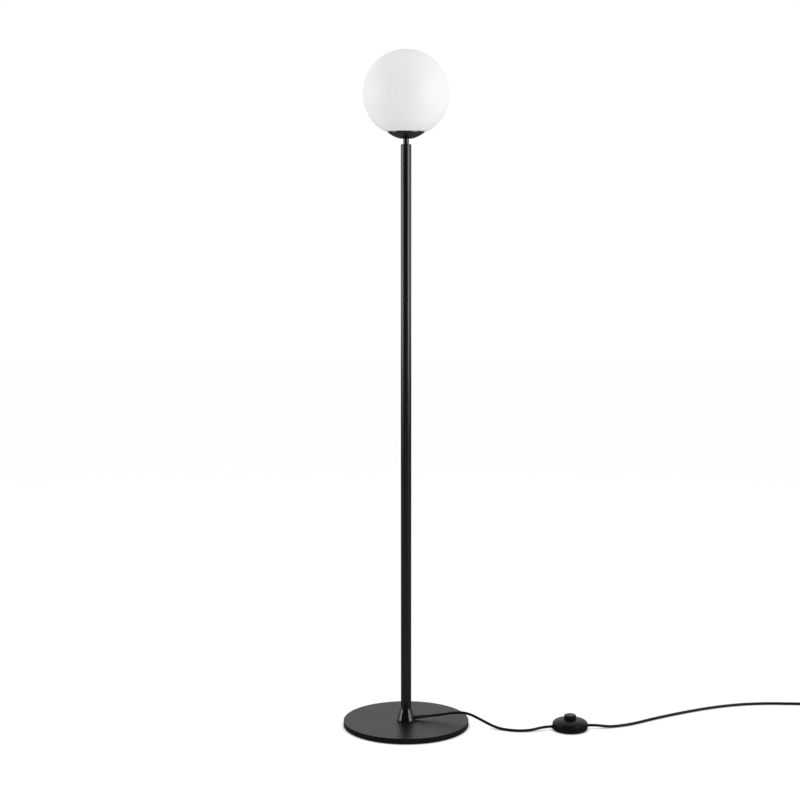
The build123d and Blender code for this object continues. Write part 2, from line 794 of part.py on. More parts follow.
with BuildPart() as switch_base:
    with BuildSketch(switch_section):
        with BuildLine():
            foot_flat = switch_radius - switch_foot_round
            Line((0, switch_pad_thickness), (foot_flat, switch_pad_thickness))
            RadiusArc(
                (foot_flat, switch_pad_thickness),
                (switch_radius, switch_pad_thickness + switch_foot_round),
                -switch_foot_round,
            )
            Polyline(
                (switch_radius, switch_pad_thickness + switch_foot_round),
                (switch_radius, switch_parting),
                (switch_inner, switch_parting),
                (switch_inner, switch_inside),
                (0, switch_inside),
                (0, switch_pad_thickness),
            )
        make_face()
    revolve(axis=switch_axis)
    # bosses for the cover screws, saddles under the cord ends, posts for the clamp screws
    with BuildSketch(switch_level(switch_inside - boss_gap)):
        with PolarLocations(switch_screw_circle / 2, switch_screw_count, start_angle=90):
            Circle(switch_boss_diameter / 2)
    extrude(amount=switch_parting - switch_inside)
    with BuildSketch(switch_level(switch_inside - boss_gap)):
        with Locations((-clamp_place, 0), (clamp_place, 0)):
            Rectangle(clamp_bar_width, 2 * clamp_screw_offset)
    extrude(amount=switch_cord_height - switch_inside)
    with BuildSketch(switch_level(switch_inside - boss_gap)):
        with Locations(*clamp_screw_spots):
            Circle(clamp_bar_width / 2)
    extrude(amount=clamp_foot - switch_inside + boss_gap)
    # cord holes, screw holes and the sinks for the screw heads
    for side in (-1, 1):
        with Locations(switch_cord_plane.offset(side * switch_radius)):
            Cylinder(grommet_neck_diameter / 2 + fit_gap, 4 * switch_wall, mode=Mode.SUBTRACT)
    with BuildSketch(switch_level(switch_pad_thickness)):
        with PolarLocations(switch_screw_circle / 2, switch_screw_count, start_angle=90):
            Circle(switch_screw_diameter / 2 + free_gap)
    extrude(amount=switch_parting, mode=Mode.SUBTRACT)
    with BuildSketch(switch_level(switch_pad_thickness)):
        with PolarLocations(switch_screw_circle / 2, switch_screw_count, start_angle=90):
            Circle(switch_screw_head / 2 + free_gap)
    extrude(amount=switch_floor, mode=Mode.SUBTRACT)
    with BuildSketch(switch_level(switch_inside)):
        with Locations(*clamp_screw_spots):
            Circle(clamp_screw_diameter / 2 + fit_gap)
    extrude(amount=clamp_foot - switch_inside, mode=Mode.SUBTRACT)
    # cradle for the cord ends, cut after the posts
    with BuildSketch(switch_cord_plane):
        Circle(cord_radius + fit_gap)
    extrude(amount=switch_radius, both=True, mode=Mode.SUBTRACT)

cover_radius = switch_radius - switch_cover_step
button_radius = button_diameter / 2
button_hole = button_radius + free_gap
cover_rise = switch_top - switch_parting
cover_reach = cover_radius - button_hole

with BuildPart() as switch_cover:
    with BuildSketch(switch_section):
        with BuildLine():
            EllipticalCenterArc(
                (button_hole, switch_parting), cover_reach, cover_rise, start_angle=0, arc_size=90
            )
            Line((button_hole, switch_top), (button_hole, switch_top - switch_cover_wall))
            EllipticalCenterArc(
                (button_hole, switch_parting),
                cover_reach - switch_cover_wall,
                cover_rise - switch_cover_wall,
                start_angle=0,
                arc_size=90,
            )
            Line(
                (cover_radius - switch_cover_wall, switch_parting), (cover_radius, switch_parting)
            )
        make_face()
    revolve(axis=switch_axis)
    # register lip inside the base shell
    with BuildSketch(switch_level(switch_parting - 1.6)):
        Circle(switch_inner - fit_gap)
        Circle(switch_inner - 1.4, mode=Mode.SUBTRACT)
    extrude(amount=1.6 + switch_cover_wall * 0.6)
    # guide round the button's flange
    with BuildSketch(switch_level(switch_parting)):
        Circle(button_flange_diameter / 2 + free_gap + button_guide_wall)
        Circle(button_flange_diameter / 2 + free_gap, mode=Mode.SUBTRACT)
    extrude(amount=cover_rise - switch_cover_wall * 0.8)
    # screw bosses and their pilot holes
    with BuildSketch(switch_level(switch_parting - boss_gap)):
        with PolarLocations(switch_screw_circle / 2, switch_screw_count, start_angle=90):
            Circle(switch_boss_diameter / 2)
    extrude(amount=cover_rise * 0.45)
    with BuildSketch(switch_level(switch_parting - boss_gap)):
        with PolarLocations(switch_screw_circle / 2, switch_screw_count, start_angle=90):
            Circle(switch_screw_diameter / 2 + fit_gap)
    extrude(amount=cover_rise * 0.4, mode=Mode.SUBTRACT)

flange_top = switch_top - switch_cover_wall - free_gap
flange_foot = flange_top - button_flange_thickness
button_ceiling = button_top - button_wall

with BuildPart() as switch_button:
    with BuildSketch(switch_section):
        with BuildLine():
            crown_radius = button_radius - button_round
            crown_foot = button_top - button_round
            Line((0, button_top), (crown_radius, button_top))
            RadiusArc((crown_radius, button_top), (button_radius, crown_foot), button_round)
            Polyline(
                (button_radius, crown_foot),
                (button_radius, flange_top),
                (button_flange_diameter / 2, flange_top),
                (button_flange_diameter / 2, flange_foot),
                (button_radius - button_wall, flange_foot),
                (button_radius - button_wall, button_ceiling),
                (0, button_ceiling),
                (0, button_top),
            )
        make_face()
    revolve(axis=switch_axis)

plunger_foot = insert_top - 1.5

with BuildPart() as button_plunger:
    with Locations(switch_level(plunger_foot)):
        Cylinder(plunger_diameter / 2, button_ceiling - plunger_foot, align=ON_BASE)

with BuildPart() as switch_insert:
    with Locations(switch_level(switch_inside)):
        Box(insert_length, insert_width, insert_top - switch_inside, align=ON_BASE)
    chamfer(switch_insert.edges().filter_by(Axis.Z), 1)
    with Locations(switch_level(insert_top)):
        Hole(insert_bore / 2, depth=plunger_foot - switch_inside - button_travel + 2.5)

# return spring: its wire climbs steadily between the contact block and the button
spring_foot = insert_top + spring_wire / 2 + fit_gap
spring_head = button_ceiling - spring_wire / 2 - fit_gap
spring_radius = (spring_diameter - spring_wire) / 2
spring_climb = (spring_head - spring_foot) / (2 * pi * spring_turns)


def spring_point(angle):
    """Middle of the wire at an angle in radians."""
    place = (spring_radius * cos(angle), spring_radius * sin(angle), spring_foot + spring_climb * angle)
    return switch_plane.from_local_coords(Vector(*place))


def spring_way(angle):
    """Direction of the wire at an angle."""
    way = Vector(-spring_radius * sin(angle), spring_radius * cos(angle), spring_climb)
    return (switch_plane.from_local_coords(way) - switch_plane.origin).normalized()


def add_biarcs(place, way, start, end, count):
    """Add a wound line to the current line, as two arcs for each even step."""
    for index in range(count):
        low = start + (end - start) * index / count
        high = start + (end - start) * (index + 1) / count
        joint, joint_way = biarc_joint(place(low), way(low), place(high), way(high))
        TangentArc(place(low), joint, tangent=way(low))
        TangentArc(joint, place(high), tangent=joint_way)


with BuildPart() as button_spring:
    with BuildLine() as spring_line:
        add_biarcs(spring_point, spring_way, 0, 2 * pi * spring_turns, spring_turns * 4)
    with BuildSketch(start_plane(spring_line.line)):
        Circle(spring_wire / 2)
    sweep()
spring_samples = [spring_point(2 * pi * step / 40) for step in range(40 * spring_turns + 1)]
print("spring gap", round(least_gap(spring_samples, spring_wire, 20), 2))

# contacts, clamps, grommets and wiring inside the foot switch
terminal_face = insert_length / 2 + fit_gap
terminal_end = lead_end_place - 3.5
block_width = insert_width / 3
block_height = insert_top - switch_inside - 2

with BuildPart() as switch_terminals:
    with Locations(switch_level(switch_inside)):
        for side in (-1, 1):
            with Locations((side * (terminal_face + terminal_end) / 2, block_width / 2 - 0.5)):
                Box(terminal_end - terminal_face, block_width, block_height, align=ON_BASE)
    with BuildSketch(switch_cord_plane):
        with Locations((core_spread, 0)):
            Circle(core_radius + fit_gap)
    extrude(amount=terminal_end + 1, both=True, mode=Mode.SUBTRACT)

with BuildPart() as switch_live_cores:
    for side in (-1, 1):
        with Locations(switch_cord_plane.offset(side * (lead_end_place + terminal_face + 1) / 2)):
            with Locations((core_spread, 0)):
                Cylinder(core_radius, lead_end_place - terminal_face - 1)

bypass_half = [
    (lead_end_place, -core_spread),
    (terminal_end + 1, -core_spread),
    (insert_length / 2 + 2.4, -insert_width / 2 - 2.6),
]
bypass_route = [(-x, y) for x, y in bypass_half] + bypass_half[::-1]

with BuildPart() as switch_bypass_core:
    with BuildLine() as bypass_line:
        FilletPolyline(
            *[switch_plane.from_local_coords((x, y, switch_cord_height)) for x, y in bypass_route],
            radius=core_diameter * 0.65,
        )
    with BuildSketch(start_plane(bypass_line.line)):
        Circle(core_radius)
    sweep()

with BuildPart() as switch_cord_ends:
    for side in (-1, 1):
        with Locations(switch_cord_plane.offset(side * (lead_end_place + grommet_reach) / 2)):
            Cylinder(cord_radius, grommet_reach - lead_end_place)

with BuildPart() as switch_grommets:
    flange_radius = grommet_flange_diameter / 2
    inner_flange_place = sqrt(switch_inner**2 - flange_radius**2) - fit_gap - grommet_flange
    outer_flange_place = grommet_reach - grommet_flange
    for side in (-1, 1):
        with Locations(switch_cord_plane.offset(side * (inner_flange_place + grommet_flange / 2))):
            Cylinder(flange_radius, grommet_flange)
        with Locations(switch_cord_plane.offset(side * (inner_flange_place + grommet_reach) / 2)):
            Cylinder(grommet_neck_diameter / 2, grommet_reach - inner_flange_place)
        with Locations(switch_cord_plane.offset(side * (outer_flange_place + grommet_flange / 2))):
            Cylinder(flange_radius, grommet_flange)
    with BuildSketch(switch_cord_plane):
        Circle(cord_radius + fit_gap)
    extrude(amount=grommet_reach + 1, both=True, mode=Mode.SUBTRACT)

with BuildPart() as cord_clamps:
    with BuildSketch(switch_level(clamp_foot)):
        with Locations((-clamp_place, 0), (clamp_place, 0)):
            Rectangle(clamp_bar_width, 2 * clamp_screw_offset + clamp_bar_width)
        with Locations(*clamp_screw_spots):
            Circle(clamp_screw_diameter / 2 + fit_gap, mode=Mode.SUBTRACT)
    extrude(amount=clamp_bar_height)

with BuildPart() as clamp_screws:
    with Locations(switch_level(clamp_foot + clamp_bar_height)):
        with Locations(*clamp_screw_spots):
            Cylinder(clamp_screw_diameter * 0.9, clamp_screw_diameter / 2, align=ON_BASE)
            Cylinder(clamp_screw_diameter / 2, clamp_screw_length, align=UNDER_TOP)

with BuildPart() as switch_screws:
    with Locations(switch_level(switch_inside)):
        with PolarLocations(switch_screw_circle / 2, switch_screw_count, start_angle=90):
            Cylinder(switch_screw_head / 2, switch_floor * 0.8, align=UNDER_TOP)
            Cylinder(
                switch_screw_diameter / 2,
                switch_parting - switch_inside + cover_rise * 0.35,
                align=ON_BASE,
            )


# ---------------------------------------------------------------- coil of the spare cord
coil_inner_radius = coil_outer_radius - coil_pitch * coil_turns_in
coil_slope = coil_pitch / (2 * pi)
coil_turn_end = 2 * pi * coil_turns_in
coil_climb_end = coil_turn_end + pi
coil_end = coil_climb_end + 2 * pi * coil_turns_out
coil_heading = Vector(1, 0, 0)


def coil_state(angle):
    """Radius and height of the coil at an angle, with the rate of each."""
    if angle <= coil_turn_end:
        return coil_outer_radius - coil_slope * angle, cord_radius, -coil_slope, 0
    if angle >= coil_climb_end:
        radius = coil_inner_radius + coil_slope * (angle - coil_climb_end)
        return radius, cord_radius + coil_layer_rise, coil_slope, 0
    part = (angle - coil_turn_end) / pi
    radius = coil_inner_radius - coil_slope * pi * (part - part**2)
    height = cord_radius + coil_layer_rise * part**2 * (3 - 2 * part)
    return radius, height, coil_slope * (2 * part - 1), coil_layer_rise * 6 * part * (1 - part) / pi


def coil_point(angle):
    """Middle of the coiled cord at an angle from where it arrives."""
    radius, height, _, _ = coil_state(angle)
    return Vector(coil_x + radius * sin(angle), coil_y + radius * cos(angle), height)


def coil_way(angle):
    """Direction of the coiled cord at an angle; it arrives and leaves along +X."""
    if angle in (0, coil_end):
        return coil_heading
    radius, _, widening, climb = coil_state(angle)
    across = widening * sin(angle) + radius * cos(angle)
    along = widening * cos(angle) - radius * sin(angle)
    return Vector(across, along, climb).normalized()


coil_start = coil_point(0) - coil_heading * cord_diameter
tail_foot = coil_point(coil_end) + coil_heading * coil_tail_start
plug_height = plug_thickness / 2
tail_end = Vector(tail_foot.X + coil_tail_length, tail_foot.Y, plug_height)
plug_start = tail_end + coil_heading * cord_diameter

with BuildPart() as cord_coil:
    with BuildLine() as coil_line:
        Line(coil_start, coil_point(0))
        add_biarcs(coil_point, coil_way, 0, coil_end, round(2 * coil_end / pi))
        Line(coil_point(coil_end), tail_foot)
        tail_joint, tail_way = biarc_joint(tail_foot, coil_heading, tail_end, coil_heading)
        TangentArc(tail_foot, tail_joint, tangent=coil_heading)
        TangentArc(tail_joint, tail_end, tangent=tail_way)
        Line(tail_end, plug_start)
    with BuildSketch(start_plane(coil_line.line)):
        Circle(cord_radius)
    sweep()
report_volume("coil", cord_coil.part, coil_line.line, cord_radius)
coil_samples = [coil_point(coil_end * step / 360) for step in range(361)]
print("coil gap", round(least_gap(coil_samples, cord_diameter, 20), 2))


# ---------------------------------------------------------------- plug
plug_plane = Plane(origin=plug_start, x_dir=(0, 1, 0), z_dir=coil_heading)
plug_body_place = plug_relief_length
plug_full_place = plug_body_place + plug_taper_length
plug_face_place = plug_body_place + plug_length


def plug_outline(width, thickness):
    """Six corners of the plug's flat body at one place along it."""
    side = width / 2
    shoulder = side - thickness * 0.35
    rise = thickness / 2
    return [
        (side, 0),
        (shoulder, rise),
        (-shoulder, rise),
        (-side, 0),
        (-shoulder, -rise),
        (shoulder, -rise),
    ]


with BuildPart() as plug_relief:
    with Locations(plug_plane):
        Cone(plug_relief_tip / 2, plug_relief_root / 2, plug_relief_length, align=ON_BASE)

with BuildPart() as plug_body:
    with BuildSketch(plug_plane.offset(plug_body_place)):
        Polygon(*plug_outline(plug_width * 0.45, plug_thickness * 0.8), align=None)
    with BuildSketch(plug_plane.offset(plug_full_place)):
        Polygon(*plug_outline(plug_width, plug_thickness), align=None)
    loft(ruled=True)
    with BuildSketch(plug_plane.offset(plug_full_place)):
        Polygon(*plug_outline(plug_width, plug_thickness), align=None)
    extrude(amount=plug_length - plug_taper_length)
    fillet(plug_body.edges().group_by(Axis.X)[-1], plug_face_round)
    with BuildSketch(plug_plane.offset(plug_face_place)):
        with Locations((-plug_pin_spacing / 2, 0), (plug_pin_spacing / 2, 0)):
            Circle(plug_pin_root_diameter / 2 + fit_gap)
    extrude(amount=-plug_pin_root, mode=Mode.SUBTRACT)

with BuildPart() as plug_pins:
    with Locations(plug_plane.offset(plug_face_place)):
        with Locations((-plug_pin_spacing / 2, 0), (plug_pin_spacing / 2, 0)):
            Cylinder(plug_pin_diameter / 2, plug_pin_length, align=ON_BASE)
            Cylinder(plug_pin_root_diameter / 2, plug_pin_root, align=UNDER_TOP)
    fillet(plug_pins.edges().group_by(Axis.X)[-1], plug_pin_diameter * 0.35)


# ---------------------------------------------------------------- free cord
switch_way = Vector(*switch_axis_way)
switch_left = switch_cord_plane.origin - switch_way * grommet_reach
switch_right = switch_cord_plane.origin + switch_way * grommet_reach

# up out of the collar, over the plate's edge and down to the floor, then to the switch
lamp_side_route = [
    cord_exit,
    cord_exit + exit_way * 25,
    (93.0, -4.0, 26.5),
    (119.0, -8.5, 26.3),
    (146.0, -16.5, 14.0),
    (173.0, -27.5, 2.6),
    (204.0, -43.5, 2.6),
    (235.0, -42.5, 2.6),
    switch_left - switch_way * 15,
    switch_left,
]

# from the switch in one long bend across the floor to the coil
wall_side_route = [
    switch_right,
    switch_right + switch_way * 15,
    (389.0, -20.0, 2.6),
    (432.0, -3.5, 2.6),
    (482.0, 34.0, 2.6),
    (540.0, 70.5, 2.6),
    (600.0, 103.0, 2.6),
    (657.0, 124.5, 2.6),
    (712.0, 133.0, 2.6),
    (760.0, 131.5, 2.6),
    coil_start - coil_heading * 30,
    coil_start,
]

with BuildPart() as cord_lamp_side:
    with BuildLine() as lamp_side_line:
        FilletPolyline(*lamp_side_route, radius=corner_radii("lamp side", lamp_side_route))
    with BuildSketch(start_plane(lamp_side_line.line)):
        Circle(cord_radius)
    sweep()
report_volume("lamp side", cord_lamp_side.part, lamp_side_line.line, cord_radius)

with BuildPart() as cord_wall_side:
    with BuildLine() as wall_side_line:
        FilletPolyline(*wall_side_route, radius=corner_radii("wall side", wall_side_route))
    with BuildSketch(start_plane(wall_side_line.line)):
        Circle(cord_radius)
    sweep()
report_volume("wall side", cord_wall_side.part, wall_side_line.line, cord_radius)


# ---------------------------------------------------------------- one file for each piece
pieces = {
    "base_pad": base_pad,
    "base_plate": base_plate,
    "flange_screws": flange_screws,
    "pole_flange": pole_flange,
    "pole_tube": pole_tube,
    "pole_top_plug": pole_top_plug,
    "collar": collar,
    "cord_bushing": cord_bushing,
    "lead_in_pole": lead_in_pole,
    "stem": stem,
    "cup": cup,
    "spring_clips": spring_clips,
    "lock_nut": lock_nut,
    "globe_gasket": globe_gasket,
    "globe": globe,
    "holder_cap": holder_cap,
    "holder_core": holder_core,
    "holder_terminals": holder_terminals,
    "holder_screws": holder_screws,
    "holder_shell": holder_shell,
    "thread_sleeve": thread_sleeve,
    "holder_contacts": holder_contacts,
    "conductor_live": conductor_live,
    "conductor_neutral": conductor_neutral,
    "bulb_tip": bulb_tip,
    "bulb_insulator": bulb_insulator,
    "bulb_cap": bulb_cap,
    "bulb_collar": bulb_collar,
    "bulb_board": bulb_board,
    "bulb_envelope": bulb_envelope,
    "switch_pad": switch_pad,
    "switch_base": switch_base,
    "switch_cover": switch_cover,
    "switch_button": switch_button,
    "button_plunger": button_plunger,
    "button_spring": button_spring,
    "switch_insert": switch_insert,
    "switch_terminals": switch_terminals,
    "switch_live_cores": switch_live_cores,
    "switch_bypass_core": switch_bypass_core,
    "switch_cord_ends": switch_cord_ends,
    "switch_grommets": switch_grommets,
    "cord_clamps": cord_clamps,
    "clamp_screws": clamp_screws,
    "switch_screws": switch_screws,
    "cord_lamp_side": cord_lamp_side,
    "cord_wall_side": cord_wall_side,
    "cord_coil": cord_coil,
    "plug_relief": plug_relief,
    "plug_body": plug_body,
    "plug_pins": plug_pins,
}

for label, piece in pieces.items():
    piece.part.label = label
    export_step(piece.part, f"parts/{label}.step")
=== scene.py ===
"""Looks of a globe floor lamp: black steel, an opal glass globe, and a lead with a foot switch.

Metres, +Z up. The origin is on the floor under the tube's axis, and the lead leaves towards +X.
Sizes inside the classes are millimetres, as on a drawing, and are scaled when a mesh is made.
"""

import json
import logging
import math
from collections.abc import Sequence
from dataclasses import dataclass, field
from enum import Enum
from functools import cache

import bmesh
import bpy
from mathutils import Matrix, Vector

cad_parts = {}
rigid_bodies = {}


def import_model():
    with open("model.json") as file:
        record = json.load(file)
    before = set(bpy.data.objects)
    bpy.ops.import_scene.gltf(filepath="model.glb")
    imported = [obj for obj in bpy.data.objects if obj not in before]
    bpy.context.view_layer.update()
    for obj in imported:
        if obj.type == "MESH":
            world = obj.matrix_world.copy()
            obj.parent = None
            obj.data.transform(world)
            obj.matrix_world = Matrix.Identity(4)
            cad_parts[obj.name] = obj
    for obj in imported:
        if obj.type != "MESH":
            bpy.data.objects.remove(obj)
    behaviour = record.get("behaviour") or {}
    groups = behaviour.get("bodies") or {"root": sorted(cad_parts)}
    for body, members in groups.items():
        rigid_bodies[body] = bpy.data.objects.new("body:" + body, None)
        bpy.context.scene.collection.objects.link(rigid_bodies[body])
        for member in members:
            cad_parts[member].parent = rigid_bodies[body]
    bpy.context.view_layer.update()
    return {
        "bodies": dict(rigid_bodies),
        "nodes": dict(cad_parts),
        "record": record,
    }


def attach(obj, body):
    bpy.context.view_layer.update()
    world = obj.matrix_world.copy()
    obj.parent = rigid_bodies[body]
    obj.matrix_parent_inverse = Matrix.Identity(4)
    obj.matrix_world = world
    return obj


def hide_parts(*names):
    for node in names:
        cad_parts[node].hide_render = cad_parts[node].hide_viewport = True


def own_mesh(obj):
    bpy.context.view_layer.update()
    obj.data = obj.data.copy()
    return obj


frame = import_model()

log = logging.getLogger("globe_floor_lamp")

MM = 0.001
FIT = 0.05  # clearance per side of pieces that are pressed or screwed together, in millimetres
SHARP_DEGREES = 32.0  # edges that turn more than this stay sharp
Point = tuple[float, float, float]
Pair = tuple[float, float]
Profile = list[Pair]
Corner = tuple[float, ...]
Piece = bpy.types.Object
Node = bpy.types.Node
Tree = bpy.types.NodeTree


# ---------------------------------------------------------------- colours and nodes
def linear(hex_colour: str) -> tuple[float, float, float, float]:
    """Turn an sRGB hex colour into the linear one that shaders use.

    Args:
        hex_colour: Six hex digits, such as "1c1c1e".

    Returns:
        Red, green, blue and a full alpha.
    """
    channels = [int(hex_colour[place : place + 2], 16) / 255 for place in (0, 2, 4)]
    toned = [c / 12.92 if c <= 0.04045 else ((c + 0.055) / 1.055) ** 2.4 for c in channels]
    return (toned[0], toned[1], toned[2], 1.0)


def add_node(tree: Tree, kind: str, inputs: dict | None = None, **settings: object) -> Node:
    """Add a node with its settings and its inputs.

    Args:
        tree: The tree that gets the node.
        kind: The node's Blender type.
        inputs: Input name or index, and its value, or the socket or the node that feeds it.
        settings: Properties of the node.

    Returns:
        The new node.
    """
    node = tree.nodes.new(kind)
    for name, value in settings.items():
        setattr(node, name, value)
    for key, value in (inputs or {}).items():
        source = value.outputs[0] if isinstance(value, Node) else value
        if isinstance(source, bpy.types.NodeSocket):
            tree.links.new(source, node.inputs[key])
        else:
            node.inputs[key].default_value = source
    return node


def cleared_tree(owner: bpy.types.Material | bpy.types.World) -> Tree:
    """Empty the node tree of a new material or world.

    Args:
        owner: The material or world.

    Returns:
        Its tree.
    """
    owner.use_nodes = True
    owner.node_tree.nodes.clear()
    return owner.node_tree


def per_mm(size_mm: float) -> float:
    """Scale of a noise in Object coordinates whose features are this many millimetres."""
    return 1000.0 / size_mm


# ---------------------------------------------------------------- finishes
@dataclass(frozen=True)
class Finish:
    """A surface: two near colours in soft patches, a range of gloss, and a fine relief.

    Attributes:
        name: The material's name.
        colour: The main colour.
        shade: The colour that it drifts to.
        roughness: Roughness of the glossiest and of the dullest patches.
        patch_mm: Size of the patches.
        grain_mm: Size of the relief's bumps.
        grain_depth_mm: Height of the relief.
        stretch: Scales of the relief along X, Y and Z, for a drawn or turned grain.
        metallic: 1 for bare metal.
        ior: Index of refraction of what isn't metal.
        scatter: Weight of light scattered under the surface.
        scatter_mm: How far that light goes.
    """

    name: str
    colour: str
    shade: str
    roughness: Pair
    patch_mm: float
    grain_mm: float
    grain_depth_mm: float
    stretch: Point = (1.0, 1.0, 1.0)
    metallic: float = 0.0
    ior: float = 1.5
    scatter: float = 0.0
    scatter_mm: float = 10.0

    def material(self) -> bpy.types.Material:
        """Make the finish's material, or find it again.

        Returns:
            The material.
        """
        known = bpy.data.materials.get(self.name)
        if known:
            return known
        made = bpy.data.materials.new(self.name)
        tree = cleared_tree(made)
        spot = add_node(tree, "ShaderNodeTexCoord").outputs["Object"]
        drawn = add_node(tree, "ShaderNodeMapping", {"Vector": spot, "Scale": self.stretch})
        patches = add_node(
            tree, "ShaderNodeTexNoise",
            {"Vector": spot, "Scale": per_mm(self.patch_mm), "Detail": 3.0, "Roughness": 0.55}
        )
        relief = add_node(
            tree, "ShaderNodeTexNoise",
            {"Vector": drawn, "Scale": per_mm(self.grain_mm), "Detail": 4.0, "Roughness": 0.6}
        )
        colours = {0: patches, 6: linear(self.colour), 7: linear(self.shade)}
        tone = add_node(tree, "ShaderNodeMix", colours, data_type="RGBA")
        blend = add_node(tree, "ShaderNodeMath", {0: relief, 1: 0.5, 2: patches}, operation="MULTIPLY_ADD")
        glossy, dull = self.roughness
        gloss = add_node(
            tree, "ShaderNodeMapRange",
            {"Value": blend, "From Min": 0.5, "From Max": 1.0, "To Min": glossy, "To Max": dull}
        )
        depth = self.grain_depth_mm * MM
        bumps = add_node(tree, "ShaderNodeBump", {"Height": relief, "Strength": 1.0, "Distance": depth})
        shader = add_node(
            tree, "ShaderNodeBsdfPrincipled",
            {
                "Base Color": tone.outputs[2], "Roughness": gloss, "Normal": bumps, "Metallic": self.metallic,
                "IOR": self.ior, "Subsurface Weight": self.scatter, "Subsurface Scale": self.scatter_mm * MM,
                "Subsurface Radius": (1.0, 1.0, 1.0)
            }
        )
        add_node(tree, "ShaderNodeOutputMaterial", {"Surface": shader})
        return made


@dataclass(frozen=True)
class SleevedPin:
    """Nickel-plated brass plug pins whose first stretch wears a black moulded sleeve.

    Attributes:
        name: The material's name.
        edge_x_mm: Where the sleeve ends, along X.
        metal: The plating.
        sleeve: The insulating sleeve.
    """

    name: str
    edge_x_mm: float
    metal: Finish
    sleeve: Finish

    def material(self) -> bpy.types.Material:
        """Make the pin's material, split along its length.

        Returns:
            The material.
        """
        made = bpy.data.materials.new(self.name)
        tree = cleared_tree(made)
        spot = add_node(tree, "ShaderNodeTexCoord").outputs["Object"]
        reach = add_node(tree, "ShaderNodeSeparateXYZ", {0: spot})
        bare = add_node(tree, "ShaderNodeMath", {0: reach, 1: self.edge_x_mm * MM}, operation="GREATER_THAN")
        scratches = add_node(
            tree, "ShaderNodeTexNoise", {"Vector": spot, "Scale": per_mm(0.6), "Detail": 3.0}
        )
        colours = {0: bare, 6: linear(self.sleeve.colour), 7: linear(self.metal.colour)}
        tone = add_node(tree, "ShaderNodeMix", colours, data_type="RGBA")
        gloss = add_node(
            tree, "ShaderNodeMapRange",
            {"Value": scratches, "To Min": self.metal.roughness[0], "To Max": self.sleeve.roughness[1]}
        )
        shader = add_node(
            tree, "ShaderNodeBsdfPrincipled",
            {"Base Color": tone.outputs[2], "Metallic": bare, "Roughness": gloss}
        )
        add_node(tree, "ShaderNodeOutputMaterial", {"Surface": shader})
        return made


# A pixel of the whole lamp is nearly 2 mm, coarser than the real grain of these skins. So the grains keep
# their real sizes for a close look, and soft patches of tone and gloss are drawn coarse enough to show.

# Silver plating with a warm tint and fine handling marks: small crisp glints.
NICKEL = Finish("nickel_plated_brass", "cfcdc6", "bfbdb5", (0.18, 0.3), 5.0, 0.4, 0.004, metallic=1.0)
# Soft rubber from a mould: charcoal, with no lights to speak of.
MOULDED_RUBBER = Finish("moulded_rubber", "0f0f10", "151516", (0.5, 0.62), 6.0, 0.5, 0.02)
# ABS with a fine spark-eroded skin: black, with wide dim lights.
SWITCH_ABS = Finish("moulded_abs_switch", "0d0d0e", "121214", (0.32, 0.4), 14.0, 0.45, 0.008, ior=1.22)
# The button's ABS, a little smoother where feet have rubbed it.
BUTTON_ABS = Finish("moulded_abs_button", "0c0c0d", "111112", (0.32, 0.4), 10.0, 0.45, 0.006, ior=1.25)

